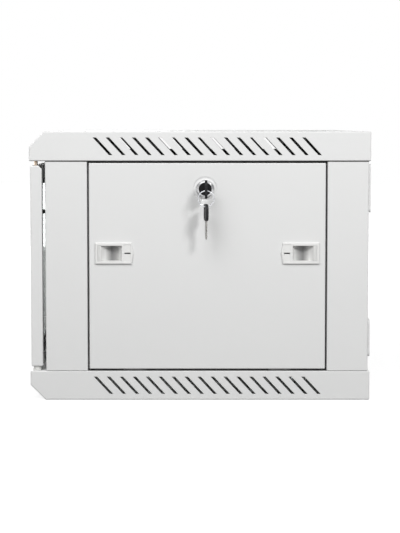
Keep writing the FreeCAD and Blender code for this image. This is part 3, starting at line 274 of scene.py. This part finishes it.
def makeGlass():
    s = doorGlass
    material, tree, shader = newMaterial("doorGlass", Transmission_Weight=1.0, IOR=s["refraction"],
                                         Base_Color=s["tint"])
    haze = remap(tree, grain(tree, s["hazeScale"], detail=s["hazeDetail"]), *s["hazeFrom"], *s["haze"])
    tree.links.new(haze, shader.inputs["Roughness"])
    waves = bumped(tree, grain(tree, s["waveScale"]), s["waveDepth"], s["waveStrength"])
    tree.links.new(waves, shader.inputs["Normal"])
    return material


finishes = {
    "grey_paint": makePowderCoat("greyPowderCoat", powderCoat["shadedShell"]),
    "zinc_steel": makeMetal("zincSheet"),
    "bright_steel": makeMetal("brightZinc"),
    "spring_steel": makeMetal("springSteel"),
    "nickel_key": makeMetal("nickelKey"),
    "lock_chrome": makeMetal("lockChrome"),
    "lock_black": makeMoulding("lockBlack"),
    "key_plastic": makeMoulding("keyPlastic"),
    "latch_plastic": makeMoulding("latchPlastic"),
    "spacer_nylon": makeMoulding("spacerNylon"),
    "black_rubber": makeMoulding("blackRubber"),
    "door_glass": makeGlass(),
}
for node in nodes.values():
    for slot in node.material_slots:
        slot.material = finishes[slot.material.name]
# the hinge pins are passivated yellow, and covers and side panels get the coat without the painted interior
# shade, also where they dip inwards
hingePins = makeMetal("yellowZinc")
plainCoat = makePowderCoat("platePowderCoat")
for name, finish in (("hinge_pin_upper", hingePins), ("hinge_pin_lower", hingePins),
                     ("cable_cover_top", plainCoat), ("cable_cover_bottom", plainCoat),
                     ("side_panel_right", plainCoat), ("side_panel_left", plainCoat)):
    nodes[name].material_slots[0].material = finish
print("finishes made:", len(finishes))


# Geometry node tools; "axis" is the radius of a lathe's axis, "weld" the distance at which points merge
meshing = {"axis": 0.00001, "weld": 0.00003, "roundingSteps": 4, "sharpAngle": 0.6, "sameSpot": 0.00001}


def newTree(name, sizes):
    tree = bpy.data.node_groups.new(name, "GeometryNodeTree")
    tree.interface.new_socket("Geometry", in_out="INPUT", socket_type="NodeSocketGeometry")
    for size in sizes:
        tree.interface.new_socket(size, in_out="INPUT", socket_type="NodeSocketFloat")
    for label, kind in (("Seed", "NodeSocketInt"), ("Finish", "NodeSocketMaterial")):
        tree.interface.new_socket(label, in_out="INPUT", socket_type=kind)
    tree.interface.new_socket("Geometry", in_out="OUTPUT", socket_type="NodeSocketGeometry")
    return tree, tree.nodes.new("NodeGroupInput").outputs


def lathe(tree, corners, rounding, steps):
    # corners run from the top of the axis outwards, as (radius, height)
    line = addNode(tree, "GeometryNodeMeshLine", {"Count": len(corners)})
    places = addNode(tree, "GeometryNodeIndexSwitch", data_type="VECTOR")
    for extra in corners[2:]:
        places.index_switch_items.new()
    tree.links.new(addNode(tree, "GeometryNodeInputIndex").outputs[0], places.inputs["Index"])
    for number, (radius, height) in enumerate(corners):
        down = calc(tree, "MULTIPLY", height, -1.0)
        corner = addNode(tree, "ShaderNodeCombineXYZ", {"X": radius, "Y": down}).outputs[0]
        tree.links.new(corner, places.inputs[number + 1])
    line = addNode(tree, "GeometryNodeSetPosition", {"Geometry": line.outputs[0],
                                                     "Position": places.outputs[0]})
    profile = addNode(tree, "GeometryNodeMeshToCurve", {"Mesh": line.outputs[0]}).outputs[0]
    profile = addNode(tree, "GeometryNodeFilletCurve", {
        "Curve": profile, "Count": meshing["roundingSteps"], "Radius": rounding, "Limit Radius": True,
    }, mode="POLY").outputs[0]
    path = addNode(tree, "GeometryNodeCurvePrimitiveCircle", {"Resolution": steps,
                                                              "Radius": meshing["axis"]})
    path = addNode(tree, "GeometryNodeSetCurveNormal", {"Curve": path.outputs[0]}, mode="Z_UP").outputs[0]
    turned = addNode(tree, "GeometryNodeCurveToMesh", {"Curve": path, "Profile Curve": profile}).outputs[0]
    return addNode(tree, "GeometryNodeMergeByDistance", {"Geometry": turned,
                                                         "Distance": meshing["weld"]}).outputs[0]


def scaled(tree, shares, radius, height):
    # lathe corners given as shares of a radius and a height
    return [(calc(tree, "MULTIPLY", radius, across), calc(tree, "MULTIPLY", height, up))
            for across, up in shares]


def moved(tree, shape, place):
    return addNode(tree, "GeometryNodeTransform", {"Geometry": shape, "Translation": place}).outputs[0]


def vector(tree, x=0.0, y=0.0, z=0.0):
    return addNode(tree, "ShaderNodeCombineXYZ", {"X": x, "Y": y, "Z": z}).outputs[0]


def combine(tree, operation, first, *others):
    mixer = addNode(tree, "GeometryNodeMeshBoolean", operation=operation, solver="EXACT")
    tree.links.new(first, mixer.inputs["Mesh 2" if operation != "DIFFERENCE" else "Mesh 1"])
    for other in others:
        tree.links.new(other, mixer.inputs["Mesh 2"])
    return mixer.outputs[0]


def closeTree(tree, given, part, random=True):
    # one copy of the part on every point, its Z along the point's aim
    aim = addNode(tree, "GeometryNodeInputNamedAttribute", {"Name": "aim"}, data_type="FLOAT_VECTOR")
    turn = addNode(tree, "FunctionNodeAlignRotationToVector", {"Vector": aim.outputs[0]}, axis="Z")
    turn = turn.outputs[0]
    if random:
        angle = addNode(tree, "FunctionNodeRandomValue", {2: 0.0, 3: math.tau, "Seed": given["Seed"]})
        spin = addNode(tree, "FunctionNodeAxisAngleToRotation", {"Axis": (0, 0, 1),
                                                                 "Angle": angle.outputs[1]})
        turn = addNode(tree, "FunctionNodeRotateRotation", {"Rotation": turn, "Rotate By": spin.outputs[0]},
                       rotation_space="LOCAL").outputs[0]
    copies = addNode(tree, "GeometryNodeInstanceOnPoints", {"Points": given["Geometry"], "Instance": part,
                                                            "Rotation": turn}).outputs[0]
    real = addNode(tree, "GeometryNodeRealizeInstances", {"Geometry": copies}).outputs[0]
    smooth = addNode(tree, "GeometryNodeSetShadeSmooth", {"Geometry": real, "Shade Smooth": True})
    bend = addNode(tree, "GeometryNodeInputMeshEdgeAngle").outputs[0]
    sharp = addNode(tree, "FunctionNodeCompare", {0: bend, 1: meshing["sharpAngle"]},
                    operation="GREATER_THAN").outputs[0]
    smooth = addNode(tree, "GeometryNodeSetShadeSmooth", {
        "Geometry": smooth.outputs[0], "Selection": sharp, "Shade Smooth": False}, domain="EDGE").outputs[0]
    dressed = addNode(tree, "GeometryNodeSetMaterial", {"Geometry": smooth,
                                                        "Material": given["Finish"]}).outputs[0]
    addNode(tree, "NodeGroupOutput", {"Geometry": dressed})
    return tree


def growPiece(name, tree, places, sizes, body, slot, replaced=()):
    # sizes named like an input of the tree are set on it, the others have shaped the tree already
    seeds = bpy.data.meshes.new(name + "Places")
    seeds.from_pydata([place for place, aim in places], [], [])
    aims = seeds.attributes.new("aim", "FLOAT_VECTOR", "POINT")
    aims.data.foreach_set("vector", [part for place, aim in places for part in aim])
    grower = bpy.data.objects.new(name + "Grower", seeds)
    bpy.context.scene.collection.objects.link(grower)
    modifier = grower.modifiers.new("grow", "NODES")
    modifier.node_group = tree
    for item in tree.interface.items_tree:
        if item.in_out == "INPUT" and item.name in sizes:
            modifier[item.identifier] = sizes[item.name]
        elif item.in_out == "INPUT" and item.name == "Finish":
            modifier[item.identifier] = finishes[slot]
    grown = grower.evaluated_get(bpy.context.evaluated_depsgraph_get())
    mesh = bpy.data.meshes.new_from_object(grown)
    bpy.data.objects.remove(grower)
    piece = bpy.data.objects.new(name, mesh)
    bpy.context.scene.collection.objects.link(piece)
    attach(piece, body)
    if replaced:
        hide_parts(*replaced)
    return piece


def looseBoxes(nodeName):
    # lowest and highest corner of every separate solid of a node
    shape = bmesh.new()
    shape.from_mesh(nodes[nodeName].data)
    bmesh.ops.remove_doubles(shape, verts=shape.verts, dist=meshing["sameSpot"])
    left, boxes = set(shape.verts), []
    while left:
        front = [left.pop()]
        found = []
        while front:
            vertex = front.pop()
            found.append(vertex.co.copy())
            for edge in vertex.link_edges:
                other = edge.other_vert(vertex)
                if other in left:
                    left.remove(other)
                    front.append(other)
        low = Vector(min(point[i] for point in found) for i in range(3))
        high = Vector(max(point[i] for point in found) for i in range(3))
        boxes.append((low, high))
    shape.free()
    return sorted(boxes, key=lambda box: tuple(round(part, 5) for part in box[0]))


def headPlaces(nodeName, aimAt, headHeight):
    # where each screw's head sits, and which way it faces
    places = []
    for low, high in looseBoxes(nodeName):
        middle = (low + high) / 2
        aim = Vector(aimAt(middle))
        tip = middle + Vector(abs(part) for part in (high - low) * 0.5) * aim
        places.append((tip - aim * headHeight, aim))
    return places


# Screws with a domed head and a cross recess
screwHead = {"dome": ((0, 1), (0.55, 0.96), (0.9, 0.66), (1, 0.22), (1, 0)), "rounding": 0.12, "steps": 24}


def makeScrewTree():
    tree, given = newTree("crossScrews", ("Head Radius", "Head Height", "Shank Radius", "Shank Length",
                                          "Recess Width", "Recess Length", "Recess Depth"))
    radius, height, shank = given["Head Radius"], given["Head Height"], given["Shank Radius"]
    under = calc(tree, "MULTIPLY", given["Shank Length"], -1.0)
    dome = scaled(tree, screwHead["dome"], radius, height)
    body = lathe(tree, [*dome, (shank, 0.0), (shank, under), (0.0, under)],
                 calc(tree, "MULTIPLY", radius, screwHead["rounding"]), screwHead["steps"])
    deep = calc(tree, "MULTIPLY", given["Recess Depth"], 2.0)
    arms = []
    for x, y in (("Recess Width", "Recess Length"), ("Recess Length", "Recess Width")):
        size = vector(tree, given[x], given[y], deep)
        arm = addNode(tree, "GeometryNodeMeshCube", {"Size": size}).outputs[0]
        arms.append(moved(tree, arm, vector(tree, z=height)))
    return closeTree(tree, given, combine(tree, "DIFFERENCE", body, *arms))


screwTree = makeScrewTree()
frameScrews = {"Head Radius": 0.0047, "Head Height": 0.0028, "Shank Radius": 0.0025, "Shank Length": 0.01,
               "Recess Width": 0.0011, "Recess Length": 0.0052, "Recess Depth": 0.0016, "Seed": 3}
coverScrews = {"Head Radius": 0.0038, "Head Height": 0.0022, "Shank Radius": 0.002, "Shank Length": 0.0022,
               "Recess Width": 0.0009, "Recess Length": 0.0042, "Recess Depth": 0.0013, "Seed": 7}
clipScrews = {"Head Radius": 0.0032, "Head Height": 0.002, "Shank Radius": 0.0018, "Shank Length": 0.001,
              "Recess Width": 0.0008, "Recess Length": 0.0036, "Recess Depth": 0.0011, "Seed": 11}


def upOrDown(middle):
    return 0, 0, 1 if middle.z > 0 else -1


def downOrUp(middle):
    return 0, 0, -1 if middle.z > 0 else 1


def backward(middle):
    return 0, 1, 0


for name, sizes, nodeName, aimAt, body in (
        ("frameScrews", frameScrews, "frame_screws", upOrDown, "cabinet"),
        ("coverScrews", coverScrews, "cover_screws", downOrUp, "cabinet"),
        ("clipScrews", clipScrews, "clip_screws", backward, "door")):
    heads = headPlaces(nodeName, aimAt, sizes["Head Height"])
    growPiece(name, screwTree, heads, sizes, body, "bright_steel", [nodeName])
print("screws grown")


# Hexagon bolts with a flange, and chamfered nuts; the chamfering cone's widths are shares of the flats
hexagon = {"wide": 0.62, "narrow": 0.5, "steps": 48}


def hexPrism(tree, flats, height, chamfer):
    corner = calc(tree, "MULTIPLY", flats, 1 / math.sqrt(3))
    prism = addNode(tree, "GeometryNodeMeshCylinder", {"Vertices": 6, "Radius": corner, "Depth": height})
    prism = moved(tree, prism.outputs[0], vector(tree, z=calc(tree, "MULTIPLY", height, 0.5)))
    wide = calc(tree, "MULTIPLY", flats, hexagon["wide"])
    narrow = calc(tree, "MULTIPLY", flats, hexagon["narrow"])
    top = calc(tree, "SUBTRACT", height, chamfer)
    cone = lathe(tree, [(0.0, height), (narrow, height), (wide, top), (wide, chamfer), (narrow, 0.0),
                        (0.0, 0.0)], 0.0, hexagon["steps"])
    return combine(tree, "INTERSECT", prism, cone)


railBolts = {"Flats": 0.01, "Head Height": 0.004, "Chamfer": 0.0007, "Flange Radius": 0.0063,
             "Flange Height": 0.0016, "Flange Rim": 0.0007, "Shank Radius": 0.00297, "Point Length": 0.0008,
             "Seed": 5, "longShank": 0.014, "tabShank": 0.0054, "flangeFoot": 0.49,
             "pointWidth": 0.8, "rounding": 0.0002, "steps": 32}
railNuts = {"Flats": 0.01, "Height": 0.005, "Chamfer": 0.0007, "Bore Radius": 0.003, "Seed": 9, "steps": 32}


def makeBoltTree():
    tree, given = newTree("flangeBolts", ("Flats", "Head Height", "Chamfer", "Flange Radius",
                                          "Flange Height", "Flange Rim", "Shank Radius", "Point Length",
                                          "Shank Length"))
    head = hexPrism(tree, given["Flats"], given["Head Height"], given["Chamfer"])
    end = calc(tree, "MULTIPLY", given["Shank Length"], -1.0)
    tip = calc(tree, "ADD", end, given["Point Length"])
    shank, flange, top = given["Shank Radius"], given["Flange Radius"], given["Flange Height"]
    rest = lathe(tree, [
        (0.0, top), (calc(tree, "MULTIPLY", given["Flats"], railBolts["flangeFoot"]), top),
        (flange, given["Flange Rim"]), (flange, 0.0), (shank, 0.0), (shank, tip),
        (calc(tree, "MULTIPLY", shank, railBolts["pointWidth"]), end), (0.0, end),
    ], railBolts["rounding"], railBolts["steps"])
    whole = addNode(tree, "GeometryNodeJoinGeometry")
    for part in (head, rest):
        tree.links.new(part, whole.inputs[0])
    return closeTree(tree, given, whole.outputs[0])


def makeNutTree():
    tree, given = newTree("hexNuts", ("Flats", "Height", "Chamfer", "Bore Radius"))
    block = hexPrism(tree, given["Flats"], given["Height"], given["Chamfer"])
    through = calc(tree, "MULTIPLY", given["Height"], 3.0)
    bore = addNode(tree, "GeometryNodeMeshCylinder", {"Vertices": railNuts["steps"], "Depth": through,
                                                      "Radius": given["Bore Radius"]})
    return closeTree(tree, given, combine(tree, "DIFFERENCE", block, bore.outputs[0]))


# the wall tabs lie behind the first place, the front rails before the second
wallZone = -0.02
frontZone = -0.4


def boltAim(middle):
    side = 1 if middle.x > 0 else -1
    if middle.y > wallZone:
        return 0, -1, 0
    return (-side if middle.y < frontZone else side), 0, 0


def nutAim(middle):
    side = 1 if middle.x > 0 else -1
    return (side if middle.y < frontZone else -side), 0, 0


boltTree, nutTree = makeBoltTree(), makeNutTree()
boltPlaces = headPlaces("rail_bolts", boltAim, railBolts["Head Height"])
longOnes = [place for place in boltPlaces if place[0].y < wallZone]
shortOnes = [place for place in boltPlaces if place[0].y > wallZone]
longSizes = {**railBolts, "Shank Length": railBolts["longShank"]}
tabSizes = {**railBolts, "Shank Length": railBolts["tabShank"]}
growPiece("railBolts", boltTree, longOnes, longSizes, "cabinet", "bright_steel", ["rail_bolts"])
growPiece("wallTabBolts", boltTree, shortOnes, tabSizes, "cabinet", "bright_steel")
growPiece("railNuts", nutTree, headPlaces("rail_nuts", nutAim, railNuts["Height"]), railNuts, "cabinet",
          "bright_steel", ["rail_nuts"])
print("bolts and nuts grown")


# Chrome lock bodies, turned in one piece; the shoulder is given as shares of the radii and of the height
lockBody = {"Rim Radius": 0.012, "Rim Height": 0.0012, "Face Radius": 0.0094, "Height": 0.0055,
            "Barrel Radius": 0.009, "Plug Radius": 0.0083, "Seat": 0.0022, "Core Radius": 0.0061, "Seed": 1,
            "shoulder": (0.51, 0.62), "rounding": 0.0003, "steps": 96}


def makeLockTree():
    tree, given = newTree("lockBodies", ("Rim Radius", "Rim Height", "Face Radius", "Height",
                                         "Barrel Radius", "Plug Radius", "Seat", "Core Radius",
                                         "Barrel Length"))
    rim, face, height, seat = given["Rim Radius"], given["Face Radius"], given["Height"], given["Seat"]
    barrel, plug, core = given["Barrel Radius"], given["Plug Radius"], given["Core Radius"]
    end = calc(tree, "MULTIPLY", given["Barrel Length"], -1.0)
    across, up = lockBody["shoulder"]
    shoulder = calc(tree, "MULTIPLY", calc(tree, "ADD", rim, face), across)
    body = lathe(tree, [
        (core, seat), (plug, seat), (plug, height), (face, height),
        (shoulder, calc(tree, "MULTIPLY", height, up)),
        (rim, given["Rim Height"]), (rim, 0.0), (barrel, 0.0), (barrel, end), (core, end), (core, seat),
    ], lockBody["rounding"], lockBody["steps"])
    return closeTree(tree, given, body, random=False)


lockTree = makeLockTree()
for nodeName, body, axis in (("door_lock_body", "door", 1), ("side_lock_body_right", "side_panel_right", 0),
                             ("side_lock_body_left", "side_panel_left", 0)):
    low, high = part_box(nodeName)
    middle = (low + high) / 2
    aim = Vector((0, -1, 0)) if axis else Vector((math.copysign(1, middle.x), 0, 0))
    length = (high - low)[axis] - lockBody["Height"]
    seat = middle + aim * ((high - low)[axis] / 2 - lockBody["Height"])
    sizes = {**lockBody, "Barrel Length": length}
    growPiece(nodeName.replace("_", "") + "Chrome", lockTree, [(seat, aim)], sizes, body, "lock_chrome",
              [nodeName])
print("lock bodies turned")


# Split ring: two flat turns side by side
splitRing = {"Wire Depth": 0.0013, "Turns": 2.0, "Seed": 1, "wiresAcross": 3.0, "steps": 64,
             "rounding": 0.00025, "roundingSteps": 3}


def makeRingTree():
    tree, given = newTree("splitRings", ("Radius", "Wire Width", "Wire Depth", "Turns"))
    across = calc(tree, "MULTIPLY", given["Wire Width"], given["Turns"])
    spiral = addNode(tree, "GeometryNodeCurveSpiral", {
        "Resolution": splitRing["steps"], "Rotations": given["Turns"], "Start Radius": given["Radius"],
        "End Radius": given["Radius"], "Height": across})
    flat = addNode(tree, "GeometryNodeCurvePrimitiveQuadrilateral", {
        "Width": given["Wire Depth"], "Height": given["Wire Width"]}).outputs[0]
    flat = addNode(tree, "GeometryNodeFilletCurve", {
        "Curve": flat, "Count": splitRing["roundingSteps"], "Radius": splitRing["rounding"],
        "Limit Radius": True,
    }, mode="POLY").outputs[0]
    path = addNode(tree, "GeometryNodeSetCurveNormal", {"Curve": spiral.outputs[0]}, mode="Z_UP").outputs[0]
    wire = addNode(tree, "GeometryNodeCurveToMesh", {"Curve": path, "Profile Curve": flat,
                                                     "Fill Caps": True}).outputs[0]
    back = calc(tree, "MULTIPLY", across, -0.5)
    return closeTree(tree, given, moved(tree, wire, vector(tree, z=back)), random=False)


low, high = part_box("key_ring")
growPiece("splitRing", makeRingTree(), [((low + high) / 2, Vector((1, 0, 0)))], {
    **splitRing, "Wire Width": (high - low).x / splitRing["wiresAcross"],
    "Radius": (high - low).z / 2 - splitRing["Wire Depth"] / 2,
}, "key_ring", "bright_steel", ["key_ring"])


# Coil spring under the hinge pin's collar, with a closed turn at each end
hingeSpring = {"Turns": 6.0, "Wire": 0.0004, "Seed": 1, "coilSteps": 28, "wireSteps": 10}


def makeSpringTree():
    tree, given = newTree("coilSprings", ("Radius", "Length", "Turns", "Wire"))
    steps = hingeSpring["coilSteps"]
    coil = addNode(tree, "GeometryNodeCurveSpiral", {
        "Resolution": steps, "Rotations": given["Turns"], "Start Radius": given["Radius"],
        "End Radius": given["Radius"], "Height": given["Length"]}).outputs[0]
    parts = addNode(tree, "GeometryNodeJoinGeometry")
    tree.links.new(coil, parts.inputs[0])
    for height in (0.0, given["Length"]):
        end = addNode(tree, "GeometryNodeCurvePrimitiveCircle", {"Resolution": steps,
                                                                 "Radius": given["Radius"]})
        tree.links.new(moved(tree, end.outputs[0], vector(tree, z=height)), parts.inputs[0])
    wire = addNode(tree, "GeometryNodeCurvePrimitiveCircle", {"Resolution": hingeSpring["wireSteps"],
                                                              "Radius": given["Wire"]}).outputs[0]
    spring = addNode(tree, "GeometryNodeCurveToMesh", {"Curve": parts.outputs[0], "Profile Curve": wire,
                                                       "Fill Caps": True}).outputs[0]
    return closeTree(tree, given, spring, random=False)


low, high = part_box("hinge_spring")
foot = Vector(((low.x + high.x) / 2, (low.y + high.y) / 2, low.z + hingeSpring["Wire"]))
spring = growPiece("coilSpring", makeSpringTree(), [(foot, Vector((0, 0, 1)))], {
    **hingeSpring, "Radius": (high - low).x / 2 - hingeSpring["Wire"],
    "Length": (high - low).z - 2 * hingeSpring["Wire"],
}, "door", "spring_steel", ["hinge_spring"])
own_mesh(spring)


# Rubber door stops, domed where they meet the posts
doorStops = {"Radius": 0.0028, "Length": 0.0041, "Rim Height": 0.0012, "Seed": 1,
             "dome": ((0, 1), (0.55, 0.97), (0.86, 0.75)), "rounding": 0.0004, "steps": 28}


def makeStopTree():
    tree, given = newTree("doorStops", ("Radius", "Length", "Rim Height"))
    radius, length = given["Radius"], given["Length"]
    dome = scaled(tree, doorStops["dome"], radius, length)
    stop = lathe(tree, [*dome, (radius, given["Rim Height"]), (radius, 0.0), (0.0, 0.0)],
                 doorStops["rounding"], doorStops["steps"])
    return closeTree(tree, given, stop)


stopPlaces = [(Vector(((low.x + high.x) / 2, low.y, (low.z + high.z) / 2)), Vector((0, 1, 0)))
              for low, high in looseBoxes("door_bumpers")]
growPiece("doorStops", makeStopTree(), stopPlaces, doorStops, "door", "black_rubber", ["door_bumpers"])
print("ring, spring and stops grown")


# Floor, world, lamps and camera
studio = {"floorSize": 8.0, "floorColour": (0.33, 0.33, 0.33), "skyStrength": 0.1, "white": (1, 1, 1),
          "nearGlow": 0.78, "farGlow": 1.0, "glowFrom": 0.5, "glowTo": 1.7, "lampAim": (0.2, -0.225, 0.0)}
# place, size and power of each lamp
lamps = {"keyLamp": ((2.0, 0.9, 1.22), 0.45, 27.0),
         "topLamp": ((1.3, -0.5, 1.25), 0.9, 12.0),
         "sideFill": ((1.9, -1.3, 1.5), 1.5, 17.0),
         "doorLamp": ((-0.7, -2.6, 0.5), 1.5, 25.0),
         "leftLamp": ((-2.4, -1.0, 0.5), 1.4, 26.0),
         "backLamp": ((-1.3, 2.2, 0.5), 1.4, 34.0)}


def rayShare(tree):
    rays = addNode(tree, "ShaderNodeLightPath").outputs
    seen = calc(tree, "MAXIMUM", rays["Is Camera Ray"], rays["Is Glossy Ray"])
    return calc(tree, "MAXIMUM", seen, rays["Is Transmission Ray"])


def makeFloor():
    s, z = studio["floorSize"], cadLow.z
    mesh = bpy.data.meshes.new("studioFloor")
    mesh.from_pydata([(-s, -s, z), (s, -s, z), (s, s, z), (-s, s, z)], [], [(0, 1, 2, 3)])
    floor = bpy.data.objects.new("studioFloor", mesh)
    bpy.context.scene.collection.objects.link(floor)
    material = bpy.data.materials.new("paleFloor")
    material.use_nodes = True
    tree = material.node_tree
    tree.nodes.clear()
    matt = addNode(tree, "ShaderNodeBsdfDiffuse", {"Color": (*studio["floorColour"], 1)}).outputs[0]
    place = addNode(tree, "ShaderNodeTexCoord").outputs["Object"]
    away = addNode(tree, "ShaderNodeVectorMath", {0: place}, operation="LENGTH").outputs["Value"]
    white = remap(tree, away, studio["glowFrom"], studio["glowTo"], studio["nearGlow"], studio["farGlow"])
    strength = calc(tree, "MULTIPLY", rayShare(tree), white)
    glow = addNode(tree, "ShaderNodeEmission", {"Strength": strength}).outputs[0]
    both = addNode(tree, "ShaderNodeAddShader", {0: matt, 1: glow}).outputs[0]
    addNode(tree, "ShaderNodeOutputMaterial", {"Surface": both})
    mesh.materials.append(material)


def makeWorld():
    world = bpy.data.worlds.new("paleRoom")
    bpy.context.scene.world = world
    world.use_nodes = True
    tree = world.node_tree
    tree.nodes.clear()
    dim = studio["skyStrength"]
    strength = calc(tree, "ADD", calc(tree, "MULTIPLY", rayShare(tree), 1 - dim), dim)
    sky = addNode(tree, "ShaderNodeBackground", {"Color": (*studio["white"], 1), "Strength": strength})
    addNode(tree, "ShaderNodeOutputWorld", {"Surface": sky.outputs[0]})


def addLamp(name, place, size, power):
    lamp = bpy.data.lights.new(name, "AREA")
    lamp.size, lamp.energy = size, power
    holder = bpy.data.objects.new(name, lamp)
    holder.location = place
    aim = Vector(studio["lampAim"]) - Vector(place)
    holder.rotation_euler = aim.to_track_quat("-Z", "Y").to_euler()
    bpy.context.scene.collection.objects.link(holder)


# The photograph looks square on at the right side, a little from above
view = {"distance": 2.3, "height": 0.187, "aim": (0.3, -0.225, 0.0), "focusPixels": 1748.0,
        "imageHeight": 533, "sensor": 36.0}


def makeCamera():
    camera = bpy.data.cameras.new("sideView")
    camera.sensor_fit = "VERTICAL"
    camera.sensor_height = camera.sensor_width = view["sensor"]
    camera.lens = view["focusPixels"] / view["imageHeight"] * view["sensor"]
    holder = bpy.data.objects.new("sideView", camera)
    aim = Vector(view["aim"])
    holder.location = aim + Vector((view["distance"], 0, view["height"]))
    holder.rotation_euler = (aim - holder.location).to_track_quat("-Z", "Y").to_euler()
    bpy.context.scene.collection.objects.link(holder)
    bpy.context.scene.camera = holder


makeFloor()
makeWorld()
for name, (place, size, power) in lamps.items():
    addLamp(name, place, size, power)
makeCamera()
bpy.context.scene.view_settings.view_transform = "Standard"

print("studio ready")
